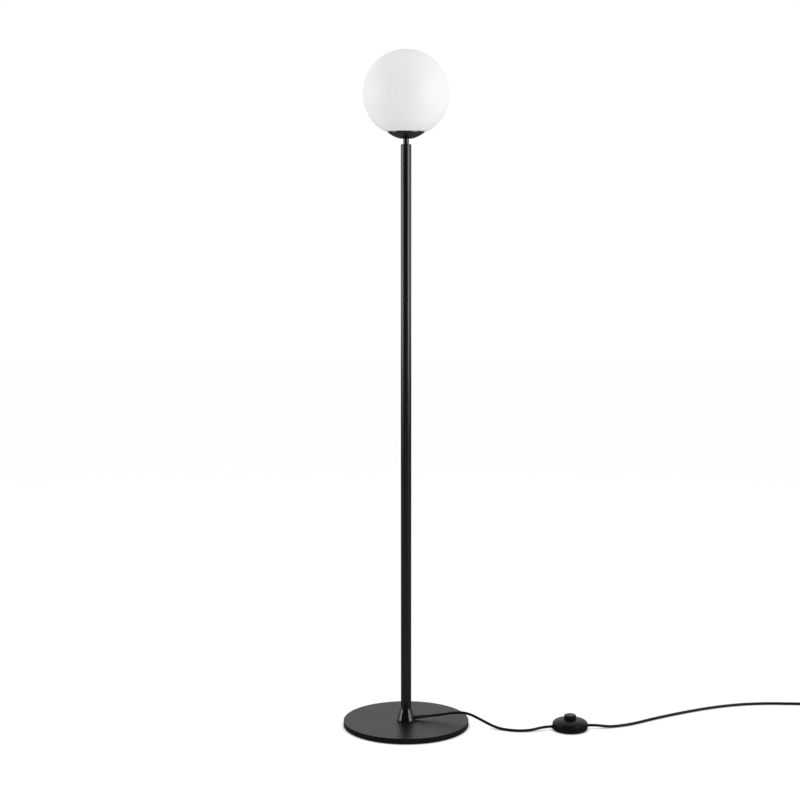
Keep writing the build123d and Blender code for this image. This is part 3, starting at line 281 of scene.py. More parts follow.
# the record's slots, and the finish that each one wears
SLOT_FINISH: dict[str, Finish] = {
    # Closed-cell foam, cut from sheet: dull and finely pitted.
    "foot_pad_foam": Finish("closed_cell_foam", "1b1b1b", "242424", (0.85, 0.95), 8.0, 0.6, 0.08),
    # Powder coat cured on the steel plate: a low orange peel that spreads the lights into a grey sheen.
    "base_black": Finish("powder_coat_base", "101011", "141415", (0.32, 0.38), 60.0, 0.7, 0.006, ior=1.22),
    # The same coat on the drawn tube: smoother, with a faint grain along it and long narrow lights.
    "tube_black": Finish(
        "powder_coat_tube", "0c0c0d", "101011", (0.18, 0.24), 50.0, 0.8, 0.003, (1.0, 1.0, 0.15), ior=1.62
    ),
    # Baked enamel over a turned collar: the glossiest black of the lamp, with bright stripes.
    "collar_black": Finish(
        "baked_enamel_collar", "080809", "0c0c0d", (0.15, 0.2), 30.0, 0.9, 0.001, ior=1.55
    ),
    # Satin enamel on the short turned neck, with faint rings from the lathe.
    "stem_black": Finish(
        "satin_enamel_neck", "0d0d0e", "141415", (0.16, 0.24), 10.0, 0.5, 0.004, (0.2, 0.2, 2.5), ior=1.7
    ),
    # Powder coat on the spun cup: deep black with two broad soft lights.
    "cup_black": Finish("powder_coat_cup", "0a0a0b", "0e0e0f", (0.2, 0.26), 25.0, 0.7, 0.004, ior=1.85),
    # Zinc plating over steel: bright, bluish, with cloudy patches.
    "zinc_steel": Finish("zinc_plated_steel", "c3c6c9", "aeb1b5", (0.28, 0.42), 3.0, 0.4, 0.01, metallic=1.0),
    # Rolled spring steel: a grey shine with no tint.
    "spring_steel": Finish(
        "rolled_spring_steel", "a9abad", "939597", (0.25, 0.38), 5.0, 0.3, 0.006, metallic=1.0
    ),
    "bushing_rubber": MOULDED_RUBBER,
    # Extruded PVC sheath: smooth black with a thin dim light along it.
    "cord_black": Finish("extruded_pvc_sheath", "0b0b0c", "101011", (0.34, 0.46), 20.0, 1.2, 0.02, ior=1.35),
    # Moulded silicone: milky, and light goes a little way in.
    "silicone_clear": Finish("milky_silicone", "dcdbd5", "cfcec8", (0.4, 0.5), 6.0, 0.8, 0.01, scatter=0.2),
    # Blown opal glass, acid-etched to a satin skin over a milky body: broad soft lights, over slow waves.
    "opal_glass": Finish(
        "etched_opal_glass", "eeeeed", "e9e9e8", (0.46, 0.54), 70.0, 25.0, 0.03, scatter=0.2, ior=1.4
    ),
    # Phenolic resin from a press: hard, dense and glossy.
    "holder_black": Finish("moulded_phenolic", "161617", "201f20", (0.22, 0.32), 9.0, 0.6, 0.008),
    # Steatite, a dense fired ceramic: warm white with a dull skin.
    "holder_white": Finish("fired_steatite", "e9e5da", "ddd8ca", (0.5, 0.62), 5.0, 0.5, 0.01),
    # Stamped brass, unplated: a warm yellow shine.
    "brass_plain": Finish("plain_brass", "c8a65f", "b8954f", (0.25, 0.4), 4.0, 0.4, 0.008, metallic=1.0),
    # Coloured PVC on the cores: plain, with a soft gloss.
    "core_brown": Finish("core_insulation_brown", "5d3a22", "523019", (0.35, 0.45), 6.0, 0.5, 0.005),
    "core_blue": Finish("core_insulation_blue", "2c62a6", "25568f", (0.35, 0.45), 6.0, 0.5, 0.005),
    # Tin solder, set from a drop: grey, wrinkled and half dull.
    "solder_tip": Finish("tin_solder", "b7b8ba", "9b9c9e", (0.35, 0.5), 1.5, 0.5, 0.05, metallic=1.0),
    # Black glass, fused in the cap: the sharpest lights of the bulb.
    "insulator_black": Finish("fused_black_glass", "121213", "1a1a1b", (0.12, 0.2), 4.0, 0.5, 0.004),
    "cap_nickel": NICKEL,
    # White PBT from a mould: even and satin.
    "bulb_white": Finish("moulded_white_pbt", "e6e6e3", "dcdcd8", (0.35, 0.45), 9.0, 0.5, 0.008),
    # Solder mask on the light board: flat white with a slight gloss.
    "board_white": Finish("white_solder_mask", "e9e9e4", "dededa", (0.35, 0.5), 3.0, 0.3, 0.006),
    # Frosted polycarbonate: a white that light sinks into.
    "bulb_frosted": Finish("frosted_diffuser", "f2f1ee", "e9e8e4", (0.3, 0.4), 12.0, 0.5, 0.006, scatter=0.3),
    "switch_black": SWITCH_ABS,
    # Nylon from a mould, grey and white: waxy, with weak lights.
    "insert_grey": Finish("moulded_grey_nylon", "84868a", "75777b", (0.4, 0.5), 6.0, 0.5, 0.01),
    "clamp_white": Finish("moulded_white_nylon", "dcdcd8", "cfcfca", (0.4, 0.5), 6.0, 0.5, 0.01),
    "pin_nickel": NICKEL,
}


# ---------------------------------------------------------------- meshes
def arc(centre: Pair, radii: Pair, first: float, last: float, steps: int) -> Profile:
    """Points of an arc in a profile, both ends included; angles are degrees from outwards, turning up."""
    angles = [math.radians(first + (last - first) * step / steps) for step in range(steps + 1)]
    return [(centre[0] + radii[0] * math.cos(a), centre[1] + radii[1] * math.sin(a)) for a in angles]


def rounded(corners: Sequence[Corner], closed: bool = False, steps: int = 5) -> Profile:
    """Turn corners into a profile with arcs.

    Args:
        corners: Radius and height of each corner, and its rounding if it has one.
        closed: Whether the last corner joins the first.
        steps: Steps of each arc.

    Returns:
        The profile's points.
    """
    profile: Profile = []
    for index, (across, height, *given) in enumerate(corners):
        rounding = given[0] if given else 0
        if rounding == 0 or (not closed and index in (0, len(corners) - 1)):
            profile.append((across, height))
            continue
        here = Vector((across, height))
        before = (Vector(corners[index - 1][:2]) - here).normalized()
        after = (Vector(corners[(index + 1) % len(corners)][:2]) - here).normalized()
        half = before.angle(after) / 2
        middle = here + (before + after).normalized() * rounding / math.sin(half)
        first = here + before * rounding / math.tan(half) - middle
        last = here + after * rounding / math.tan(half) - middle
        start = math.degrees(math.atan2(first.y, first.x))
        swing = (math.degrees(math.atan2(last.y, last.x)) - start + 180) % 360 - 180
        profile += arc((middle.x, middle.y), (rounding, rounding), start, start + swing, steps)
    return profile


def held(profile: Profile, closed: bool, near: float = 0.2) -> Profile:
    """Add a point just inside both ends of each long run, so that it stays straight when smoothed.

    Args:
        profile: The profile's points.
        closed: Whether the last point joins the first.
        near: Distance of the new points from the ends.

    Returns:
        The profile with the new points.
    """
    points = [Vector(point) for point in profile]
    runs = list(zip(points, points[1:] + points[:1]))
    kept: Profile = []
    for start, end in runs if closed else runs[:-1]:
        kept.append(tuple(start))
        step = end - start
        if step.length > 8 * near:
            inset = step.normalized() * near
            kept += [tuple(start + inset), tuple(end - inset)]
    return kept if closed else [*kept, tuple(points[-1])]


def linked(name: str, data: bpy.types.ID) -> Piece:
    """Put a mesh, curve, light or camera into the scene as an object at the origin.

    Args:
        name: The object's name.
        data: What it shows.

    Returns:
        The object.
    """
    made = bpy.data.objects.new(name, data)
    bpy.context.scene.collection.objects.link(made)
    return made


def finished_object(name: str, shape: bmesh.types.BMesh, place: Matrix | None = None) -> Piece:
    """Turn a shape in millimetres into a smooth-shaded object with its place in its mesh.

    Args:
        name: Name of the object and its mesh.
        shape: The shape, which is freed.
        place: Where it goes, in millimetres.

    Returns:
        The object.
    """
    bmesh.ops.recalc_face_normals(shape, faces=shape.faces)
    data = bpy.data.meshes.new(name)
    shape.to_mesh(data)
    shape.free()
    if place is not None:
        data.transform(place)
    data.transform(Matrix.Scale(MM, 4))
    data.shade_smooth()
    data.set_sharp_from_angle(angle=math.radians(SHARP_DEGREES))
    return linked(name, data)


def turned(
    name: str, corners: Sequence[Corner], closed: bool = False, segments: int = 128,
    place: Matrix | None = None, steps: int = 5
) -> Piece:
    """Turn a profile about the Z axis.

    Args:
        name: The object's name.
        corners: Radius and height of each corner, and its rounding if it has one.
        closed: Whether the last corner joins the first, as for a ring.
        segments: Steps round the axis.
        place: Where the turned shape goes, in millimetres.
        steps: Steps of each rounding.

    Returns:
        The object.
    """
    shape = bmesh.new()
    angles = [2 * math.pi * step / segments for step in range(segments)]
    rings = []
    for radius, height in held(rounded(corners, closed, steps), closed):
        spots = [(radius * math.cos(a), radius * math.sin(a), height) for a in angles]
        if radius < 1e-6:
            spots = [(0.0, 0.0, height)]
        rings.append([shape.verts.new(spot) for spot in spots])
    pairs = list(zip(rings, rings[1:]))
    if closed:
        pairs.append((rings[-1], rings[0]))
    for low, high in pairs:
        for step in range(segments):
            ends = ((low, step), (low, step + 1), (high, step + 1), (high, step))
            face = list(dict.fromkeys(ring[index % segments % len(ring)] for ring, index in ends))
            if len(face) > 2:
                shape.faces.new(face)
    return finished_object(name, shape, place)


def lofted(name: str, sections: Sequence[Sequence[Point]], place: Matrix | None = None) -> Piece:
    """Join closed sections of equal count into a capped skin.

    Args:
        name: The object's name.
        sections: Points of each section, in order along the piece.
        place: Where the shape goes, in millimetres.

    Returns:
        The object.
    """
    shape = bmesh.new()
    rings = [[shape.verts.new(point) for point in section] for section in sections]
    for low, high in zip(rings, rings[1:]):
        for step in range(len(low)):
            beside = (step + 1) % len(low)
            shape.faces.new([low[step], low[beside], high[beside], high[step]])
    for cap in (rings[0], rings[-1]):
        shape.faces.new(cap)
    return finished_object(name, shape, place)


def evaluated_mesh(source: Piece) -> bpy.types.Mesh:
    """A plain mesh of an object with its modifiers applied."""
    depsgraph = bpy.context.evaluated_depsgraph_get()
    return bpy.data.meshes.new_from_object(source.evaluated_get(depsgraph), depsgraph=depsgraph)


def carve(piece: Piece, cutters: Sequence[Piece]) -> None:
    """Cut shapes out of a piece for good, and remove them.

    Args:
        piece: The piece, whose mesh is replaced.
        cutters: Closed objects at their places.
    """
    for cutter in cutters:
        cut = piece.modifiers.new("cut", "BOOLEAN")
        cut.operation = "DIFFERENCE"
        cut.solver = "EXACT"
        cut.object = cutter
    carved = evaluated_mesh(piece)
    piece.modifiers.clear()
    piece.data = carved
    carved.set_sharp_from_angle(angle=math.radians(SHARP_DEGREES))
    for cutter in cutters:
        bpy.data.objects.remove(cutter)


def along(origin: Point, way: Sequence[float]) -> Matrix:
    """Place that puts a piece at an origin in millimetres and turns its +Z to a direction."""
    turn = Vector(way).to_track_quat("Z", "Y").to_matrix().to_4x4()
    return Matrix.Translation(Vector(origin)) @ turn


def rod(name: str, radius: float, start: Vector, end: Vector, segments: int = 48) -> Piece:
    """A plain round rod between two points, in millimetres, for cutting or adding.

    Args:
        name: The object's name.
        radius: Its radius.
        start: Middle of one end.
        end: Middle of the other.
        segments: Steps round it.

    Returns:
        The object.
    """
    way = end - start
    profile = [(0, 0), (radius, 0), (radius, way.length), (0, way.length)]
    return turned(name, profile, segments=segments, place=along(start, way))


def joined(name: str, parts: Sequence[Piece]) -> Piece:
    """Join pieces of one moulding into one object.

    Args:
        name: Name of the result.
        parts: The pieces, which are used up.

    Returns:
        The joined object.
    """
    shape = bmesh.new()
    for part in parts:
        shape.from_mesh(part.data)
        bpy.data.objects.remove(part)
    data = bpy.data.meshes.new(name)
    shape.to_mesh(data)
    shape.free()
    return linked(name, data)


def rib_ring(inner: float, outer: float, half_width: float, segments: int) -> Piece:
    """A thin ring with rounded outer edges, to be repeated along a sleeve."""
    edges = [(outer, -half_width, 0.2), (outer, half_width, 0.2)]
    return turned("rib", [(inner, -half_width), *edges, (inner, half_width)], True, segments, steps=3)


def wear(
    piece: Piece, slot: str, *stands_for: str, body: str = "lamp", finish: Finish | SleevedPin | None = None
) -> None:
    """Give a finished piece its material, its body and the nodes that it stands for.

    Args:
        piece: The piece.
        slot: The record's slot of its finish.
        stands_for: CAD nodes that it replaces.
        body: Name of the body that carries it.
        finish: A finish other than the slot's own.
    """
    piece.data.materials.clear()
    piece.data.materials.append((finish or SLOT_FINISH[slot]).material())
    if stands_for:
        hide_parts(*stands_for)
    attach(piece, body)
    log.info("%s rides on %s", piece.name, body)


# ---------------------------------------------------------------- repeated pieces
LENGTHS = {"Start", "End", "Radius", "Foot", "Height", "Ridge"}  # inputs given in millimetres


class Growth(Enum):
    """Ways in which a small piece is repeated."""

    ROW = "pieces_in_a_row"
    RING = "pieces_round_an_axis"
    THREAD = "thread_round_an_axis"


@dataclass
class Grower:
    """A node tree that repeats a piece or winds a thread, with its named inputs."""

    kind: Growth
    sockets: dict[str, str] = field(default_factory=dict)
    tree: Tree | None = None

    def inputs(self, **kinds: str) -> bpy.types.bpy_prop_collection:
        """Add named inputs to the tree and remember their identifiers.

        Args:
            kinds: Each input's name, with _ for a space, and its type.

        Returns:
            The sockets that bring the inputs in, by name.
        """
        for name, kind in kinds.items():
            made = self.tree.interface.new_socket(
                name.replace("_", " "), in_out="INPUT", socket_type=f"NodeSocket{kind}"
            )
            self.sockets[name] = made.identifier
        return add_node(self.tree, "NodeGroupInput").outputs

    def build(self) -> "Grower":
        """Make the tree.

        Returns:
            The grower itself.
        """
        self.tree = bpy.data.node_groups.new(self.kind.value, "GeometryNodeTree")
        self.tree.interface.new_socket("Geometry", in_out="OUTPUT", socket_type="NodeSocketGeometry")
        finish = self.inputs(Finish="Material")["Finish"]
        grown = {Growth.ROW: self.row, Growth.RING: self.ring, Growth.THREAD: self.thread}[self.kind]()
        real = add_node(self.tree, "GeometryNodeRealizeInstances", {0: grown})
        dressed = add_node(self.tree, "GeometryNodeSetMaterial", {"Geometry": real, "Material": finish})
        add_node(self.tree, "NodeGroupOutput", {0: dressed})
        return self

    def row(self) -> Node:
        """Copies of a piece along a line, each turned to it and scaled from end to end.

        Returns:
            The node that gives them.
        """
        tree = self.tree
        given = self.inputs(
            Start="Vector", End="Vector", Count="Int", Start_Scale="Float", End_Scale="Float", Piece="Object"
        )
        ends = {"Count": given["Count"], "Start Location": given["Start"], "Offset": given["End"]}
        points = add_node(tree, "GeometryNodeMeshLine", ends, mode="END_POINTS")
        step = {0: given["End"], 1: given["Start"]}
        way = add_node(tree, "ShaderNodeVectorMath", step, operation="SUBTRACT")
        turn = add_node(tree, "FunctionNodeAlignRotationToVector", {"Vector": way}, axis="Z")
        last = add_node(tree, "ShaderNodeMath", {0: given["Count"], 1: 1.0}, operation="SUBTRACT")
        index = add_node(tree, "GeometryNodeInputIndex")
        part = add_node(tree, "ShaderNodeMath", {0: index, 1: last}, operation="DIVIDE")
        scales = {0: part, 2: given["Start Scale"], 3: given["End Scale"]}
        size = add_node(tree, "ShaderNodeMix", scales, data_type="FLOAT")
        piece = add_node(tree, "GeometryNodeObjectInfo", {"Object": given["Piece"]}).outputs["Geometry"]
        return add_node(
            tree, "GeometryNodeInstanceOnPoints",
            {"Points": points, "Instance": piece, "Rotation": turn, "Scale": size}
        )

    def ring(self) -> Node:
        """Copies of a piece round the Z axis, each with its X side turned outwards.

        Returns:
            The node that gives them.
        """
        tree = self.tree
        given = self.inputs(Count="Int", Radius="Float", Piece="Object")
        circle = {"Vertices": given["Count"], "Radius": given["Radius"]}
        points = add_node(tree, "GeometryNodeMeshCircle", circle)
        outwards = add_node(tree, "GeometryNodeInputPosition")
        turn = add_node(tree, "FunctionNodeAlignRotationToVector", {"Vector": outwards}, axis="X")
        piece = add_node(tree, "GeometryNodeObjectInfo", {"Object": given["Piece"]}).outputs["Geometry"]
        copies = {"Points": points, "Instance": piece, "Rotation": turn}
        return add_node(tree, "GeometryNodeInstanceOnPoints", copies)

    def thread(self) -> Node:
        """A round ridge wound about the Z axis.

        Returns:
            The node that gives it.
        """
        tree = self.tree
        given = self.inputs(Radius="Float", Foot="Float", Height="Float", Turns="Float", Ridge="Float")
        line = add_node(
            tree, "GeometryNodeCurveSpiral",
            {
                "Resolution": 48, "Rotations": given["Turns"], "Start Radius": given["Radius"],
                "End Radius": given["Radius"], "Height": given["Height"]
            }
        )
        circle = {"Resolution": 10, "Radius": given["Ridge"]}
        section = add_node(tree, "GeometryNodeCurvePrimitiveCircle", circle, mode="RADIUS")
        swept = {"Curve": line, "Profile Curve": section, "Fill Caps": True}
        ridge = add_node(tree, "GeometryNodeCurveToMesh", swept)
        lift = add_node(tree, "ShaderNodeCombineXYZ", {"Z": given["Foot"]})
        return add_node(tree, "GeometryNodeTransform", {"Geometry": ridge, "Translation": lift})

    def grow(self, name: str, slot: str, place: Matrix | None = None, **values: object) -> Piece:
        """Run the tree once, keep its result as a plain mesh and use up the repeated piece.

        Args:
            name: The new object's name.
            slot: The record's slot of its finish.
            place: Where the result goes, in millimetres.
            values: Inputs by name, with _ for a space. Lengths and places are millimetres.

        Returns:
            The new object.
        """
        holder = linked("growing", bpy.data.meshes.new("growing"))
        run = holder.modifiers.new("grow", "NODES")
        run.node_group = self.tree
        run[self.sockets["Finish"]] = SLOT_FINISH[slot].material()
        for key, value in values.items():
            run[self.sockets[key]] = value * MM if key in LENGTHS else value
        data = evaluated_mesh(holder)
        bpy.data.objects.remove(holder)
        if "Piece" in values:
            bpy.data.objects.remove(values["Piece"])
        if place is not None:
            data.transform(Matrix.Scale(MM, 4) @ place @ Matrix.Scale(1 / MM, 4))
        data.name = name
        data.shade_smooth()
        data.set_sharp_from_angle(angle=math.radians(40.0))
        return linked(name, data)


@cache
def grower(kind: Growth) -> Grower:
    """The grower of one kind, made once."""
    return Grower(kind).build()


# ---------------------------------------------------------------- foot of the lamp
@dataclass
class Foot:
    """Heavy steel plate on a foam pad, with the turned collar and the lead's bushing on it."""

    pad_radius: float = 112.0
    pad_height: float = 1.2
    plate_radius: float = 120.0
    plate_height: float = 10.0
    edge_round: float = 0.8
    edge_chamfer: float = 0.4
    screw_circle: float = 12.65
    screw_count: int = 4
    screw_hole: float = 2.05
    sink_radius: float = 5.05
    collar_foot: float = 18.2
    collar_neck: float = 11.2
    collar_cone: float = 21.0
    collar_band: float = 1.0
    collar_wall: float = 1.2
    collar_bore: float = 10.05
    exit_spot: Point = (17.067, 0.0, 15.6)
    exit_rise: float = 5.5
    bushing_length: float = 24.0
    bushing_root: float = 3.65
    bushing_tip: float = 3.0
    bushing_bore: float = 2.65
    bushing_neck: float = 3.05
    bushing_clearance: float = 0.02
    flange: Pair = (-4.32, -3.12)
    flange_neck: float = -0.6
    rib_half_width: float = 0.42
    rib_start: float = 0.3
    rib_margin: float = 0.45
    rib_sink: float = 0.08
    rib_count: int = 9

    @property
    def plate_top(self) -> float:
        """Height of the plate's upper face."""
        return self.pad_height + self.plate_height

    @property
    def exit_way(self) -> Vector:
        """Direction in which the lead leaves the collar."""
        rise = math.radians(self.exit_rise)
        return Vector((math.cos(rise), 0.0, math.sin(rise)))

    def pad(self) -> None:
        """Foam pad with soft rims."""
        wide, top = self.pad_radius, self.pad_height
        pad = turned("foam_pad", [(0, 0), (wide, 0, 0.4), (wide, top, 0.15), (0, top)], segments=160)
        wear(pad, "foot_pad_foam", "base_pad")

    def plate(self) -> None:
        """Plate with a rounded upper edge and countersunk holes for the flange's screws."""
        low, top, wide, chamfer = self.pad_height, self.plate_top, self.plate_radius, self.edge_chamfer
        edge = [(wide - chamfer, low, 0.1), (wide, low + chamfer, 0.1), (wide, top, self.edge_round)]
        piece = turned("steel_plate", [(0, low), *edge, (0, top)], segments=224)
        hole, past = self.screw_hole, self.plate_height + 1
        sink = [(0, -1), (self.sink_radius, -1), (hole, 2), (hole, past), (0, past)]
        sinks = []
        for index in range(self.screw_count):
            angle = math.radians(45 + 360 * index / self.screw_count)
            spot = (self.screw_circle * math.cos(angle), self.screw_circle * math.sin(angle), low)
            sinks.append(turned("sink", sink, segments=48, place=Matrix.Translation(spot)))
        carve(piece, sinks)
        wear(piece, "base_black", "base_plate")

    def collar(self) -> None:
        """Conical collar with a bright turned lip and a hole for the lead."""
        foot, neck, bore = self.collar_foot, self.collar_neck, self.collar_bore
        low, band = self.plate_top, self.plate_top + self.collar_band
        cone_top = band + self.collar_cone
        top, inner_foot = cone_top + self.collar_band, foot - self.collar_wall
        inner_top = band + (inner_foot - bore) / ((foot - neck) / self.collar_cone)
        outside = [(foot, low, 0.15), (foot, band, 0.35), (neck, cone_top, 0.5), (neck, top, 0.3)]
        inside = [(bore, top, 0.15), (bore, inner_top), (inner_foot, band)]
        piece = turned("turned_collar", [(inner_foot, low), *outside, *inside], closed=True)
        spot, reach = Vector(self.exit_spot), self.exit_way * self.collar_wall * 3
        carve(piece, [rod("lead_hole", self.bushing_neck + FIT, spot - reach, spot + reach)])
        wear(piece, "collar_black", "collar")

    def bushing(self) -> None:
        """Rubber bushing along the lead's way out, cut to the collar's cone, and its inner flange."""
        length, root, tip, bore = self.bushing_length, self.bushing_root, self.bushing_tip, self.bushing_bore
        place, behind, neck = along(self.exit_spot, self.exit_way), -self.collar_wall, self.bushing_neck
        taper = [(root, length * 0.2, 0.4), (tip - 0.12, length, 0.08), (bore, length, 0.05)]
        sleeve = turned("ribbed_bushing", [(bore, behind), (root, behind), *taper], True, 64, place)
        band = self.plate_top + self.collar_band
        cone_top, gap = band + self.collar_cone, self.bushing_clearance
        wide, slim = self.collar_foot + gap, self.collar_neck + gap
        carve(sleeve, [turned("cone", [(0, 0), (wide, 0), (wide, band), (slim, cone_top), (0, cone_top)])])
        (back, front), end = self.flange, self.flange_neck
        profile = [(bore, back), (root, back), (root, front), (neck, front), (neck, end), (bore, end)]
        inner = turned("bushing_neck", profile, True, 64, place)
        wear(joined("ribbed_bushing_body", [sleeve, inner]), "bushing_rubber", "cord_bushing")

    def ribs(self) -> None:
        """Thin ribs along the bushing's taper."""
        tip, spot = self.bushing_tip, Vector(self.exit_spot)
        ribs = grower(Growth.ROW).grow(
            "bushing_ribs", "bushing_rubber",
            Start=spot + self.exit_way * self.bushing_length * self.rib_start,
            End=spot + self.exit_way * (self.bushing_length - self.rib_margin), Count=self.rib_count,
            Start_Scale=(self.bushing_root - self.rib_sink) / tip, End_Scale=1.0,
            Piece=rib_ring(tip - 0.3, tip, self.rib_half_width, 32)
        )
        wear(ribs, "bushing_rubber")

    def build(self) -> None:
        """Make and place the pieces."""
        for make in (self.pad, self.plate, self.collar, self.bushing, self.ribs):
            make()


# ---------------------------------------------------------------- tube and cup
@dataclass
class Column:
    """Drawn steel tube, its top plug, the threaded neck and the spun cup."""

    foot: float = 11.2
    tube_radius: float = 10.0
    tube_wall: float = 1.5
    tube_length: float = 1092.6
    slot_radius: float = 3.3
    slot_heights: Pair = (3.9, 1.2)
    slot_reach: Pair = (6.0, 14.0)
    plug_head: float = 1.5
    plug_round: float = 0.9
    plug_depth: float = 14.0
    neck_radius: float = 5.5
    neck_height: float = 10.0
    neck_bore: float = 3.5
    groove_depth: float = 0.25
    groove: tuple[float, float, float, float] = (1.1, 1.3, 1.7, 1.9)
    thread_radius: float = 5.0
    thread_ridge: float = 0.32
    thread_below: float = 13.0
    thread_above: float = 12.5
    thread_gap: float = 0.6
    thread_turns: float = 11.2
    cup_flat: float = 10.0
    cup_radius: float = 34.6
    cup_curve: float = 52.8
    cup_wall: float = 1.2
    cup_band: float = 1.6

    @property
    def tube_top(self) -> float:
        """Height of the tube's upper end."""
        return self.foot + self.tube_length

    @property
    def cup_floor(self) -> float:
        """Height of the cup's underside at its middle."""
        return self.tube_top + self.plug_head + self.neck_height

    def tube(self) -> None:
        """Tube with a slot at its foot for the lead."""
        wide, bore, foot, top = self.tube_radius, self.tube_radius - self.tube_wall, self.foot, self.tube_top
        ends = [(bore, foot, 0.1), (wide, foot, 0.1), (wide, top, 0.15), (bore, top, 0.1)]
        piece = turned("drawn_tube", ends, closed=True, segments=96, steps=3)
        slot = []
        for height in self.slot_heights:
            start, end = (Vector((x, 0.0, foot + height)) for x in self.slot_reach)
            slot.append(rod("lead_slot", self.slot_radius, start, end))
        carve(piece, slot)
        wear(piece, "tube_black", "pole_tube")

    def top_plug(self) -> None:
        """Plug pressed into the tube, with a rounded shoulder."""
        bore, wide, low = self.thread_radius + FIT, self.tube_radius, self.tube_top
        inner, foot, top = wide - self.tube_wall - FIT, low - self.plug_depth, low + self.plug_head
        shank = [(bore, foot, 0.2), (inner, foot, 0.5), (inner, low)]
        head = [(wide, low, 0.08), (wide, top, self.plug_round), (bore, top, 0.15)]
        wear(turned("tube_plug", shank + head, closed=True, segments=96), "tube_black", "pole_top_plug")

    def neck(self) -> None:
        """Threaded stem whose plain neck, with one fine groove, shows between the tube and the cup."""
        low, high, wide = self.tube_top + self.plug_head, self.cup_floor, self.neck_radius
        core, slim, bore = self.thread_radius - self.thread_ridge, wide - self.groove_depth, self.neck_bore
        foot, top = low - self.thread_below, high + self.thread_above
        start, down, up, end = (low + height for height in self.groove)
        profile = [(bore, foot, 0.2), (core, foot, 0.4), (core, low - 0.1), (core, low), (wide, low, 0.25)]
        profile += [(wide, start), (slim, down, 0.1), (slim, up, 0.1), (wide, end)]
        profile += [(wide, high, 0.25), (core, high), (core, top, 0.4), (bore, top, 0.2)]
        wear(turned("threaded_neck", profile, closed=True, segments=96), "stem_black", "stem")

    def thread(self) -> None:
        """The stem's thread where it stands in the cup, at one millimetre a turn."""
        thread = grower(Growth.THREAD).grow(
            "neck_thread", "stem_black", Radius=self.thread_radius - self.thread_ridge,
            Foot=self.cup_floor + self.thread_gap, Height=self.thread_turns, Turns=self.thread_turns,
            Ridge=self.thread_ridge
        )
        wear(thread, "stem_black")

    def cup(self) -> None:
        """Spun cup: a flat middle, a round side and a short upright rim."""
        middle = self.cup_floor + math.sqrt(self.cup_curve**2 - self.cup_flat**2)
        wide, slim = self.cup_radius, self.cup_radius - self.cup_wall
        walls = []
        for curve, reach in ((self.cup_curve, wide), (self.cup_curve - self.cup_wall, slim)):
            start, end = (math.degrees(math.asin(r / curve)) - 90 for r in (self.cup_flat, reach))
            walls.append(arc((0, middle), (curve, curve), start, end, 28))
        outer, inner = walls
        rim, hole, low = outer[-1][1] + self.cup_band, self.thread_radius + FIT, self.cup_floor
        floor = low + self.cup_wall
        lip = rounded([outer[-1], (wide, rim, 0.45), (slim, rim, 0.45), inner[-1]])[1:-1]
        profile = [(hole, low), *outer, *lip, *reversed(inner), (self.cup_flat, floor), (hole, floor)]
        wear(turned("spun_cup", profile, closed=True, segments=144), "cup_black", "cup")

    def build(self) -> None:
        """Make and place the pieces."""
        for make in (self.tube, self.top_plug, self.neck, self.thread, self.cup):
            make()


# ---------------------------------------------------------------- globe
@dataclass
class Globe:
    """Blown opal globe with a flat ground underside and a lip that grips the cup."""

    radius: float = 80.0
    wall: float = 2.6
    underside: float = 1129.2114
    seat_radius: float = 40.75
    lip_radius: float = 31.5
    lip_wall: float = 2.7
    lip_foot: float = 1126.9614
    corner_round: float = 1.4
    gasket_width: float = 2.4
    gasket_foot: float = 1124.55
    gasket_step: float = 1.73

    def glass(self) -> None:
        """The globe's shell, open at its lip."""
        centre = self.underside + math.sqrt(self.radius**2 - self.seat_radius**2)
        inner, floor = self.radius - self.wall, self.underside + self.wall
        inner_seat = math.sqrt(inner**2 - (centre - floor) ** 2)
        mouth, lip, foot = self.lip_radius - self.lip_wall, self.lip_radius, self.lip_foot
        soft = self.corner_round
        low_out = math.degrees(math.asin(self.seat_radius / self.radius)) - 90
        low_in = math.degrees(math.asin(inner_seat / inner)) - 90
        outside = arc((0, centre), (self.radius, self.radius), 90, low_out, 96)
        inside = arc((0, centre), (inner, inner), low_in, 90, 72)
        seat = [(self.seat_radius, self.underside, soft), (lip, self.underside, 0.3), (lip, foot, 0.9)]
        seat += [(mouth, foot, 0.9), (mouth, floor, 0.8), (inner_seat, floor, soft)]
        seat = rounded([outside[-2], *seat, inside[1]])[1:-1]
        outside[0], inside[-1] = (0, outside[0][1]), (0, inside[-1][1])
        glass = turned("opal_globe", outside[:-1] + seat + inside[1:], segments=144)
        wear(glass, "opal_glass", "globe", body="globe")

    def gasket(self) -> None:
        """Milky ring between the glass lip and the cup."""
        wide, low, top = self.lip_radius - FIT, self.gasket_foot, self.lip_foot - 0.02
        slim = wide - self.gasket_width
        section = [(slim, low, 0.2), (wide, low + self.gasket_step, 0.15), (wide, top, 0.2), (slim, top, 0.4)]
        wear(turned("lip_gasket", section, closed=True), "silicone_clear", "globe_gasket")

    def build(self) -> None:
        """Make and place the pieces."""
        self.glass()
        self.gasket()


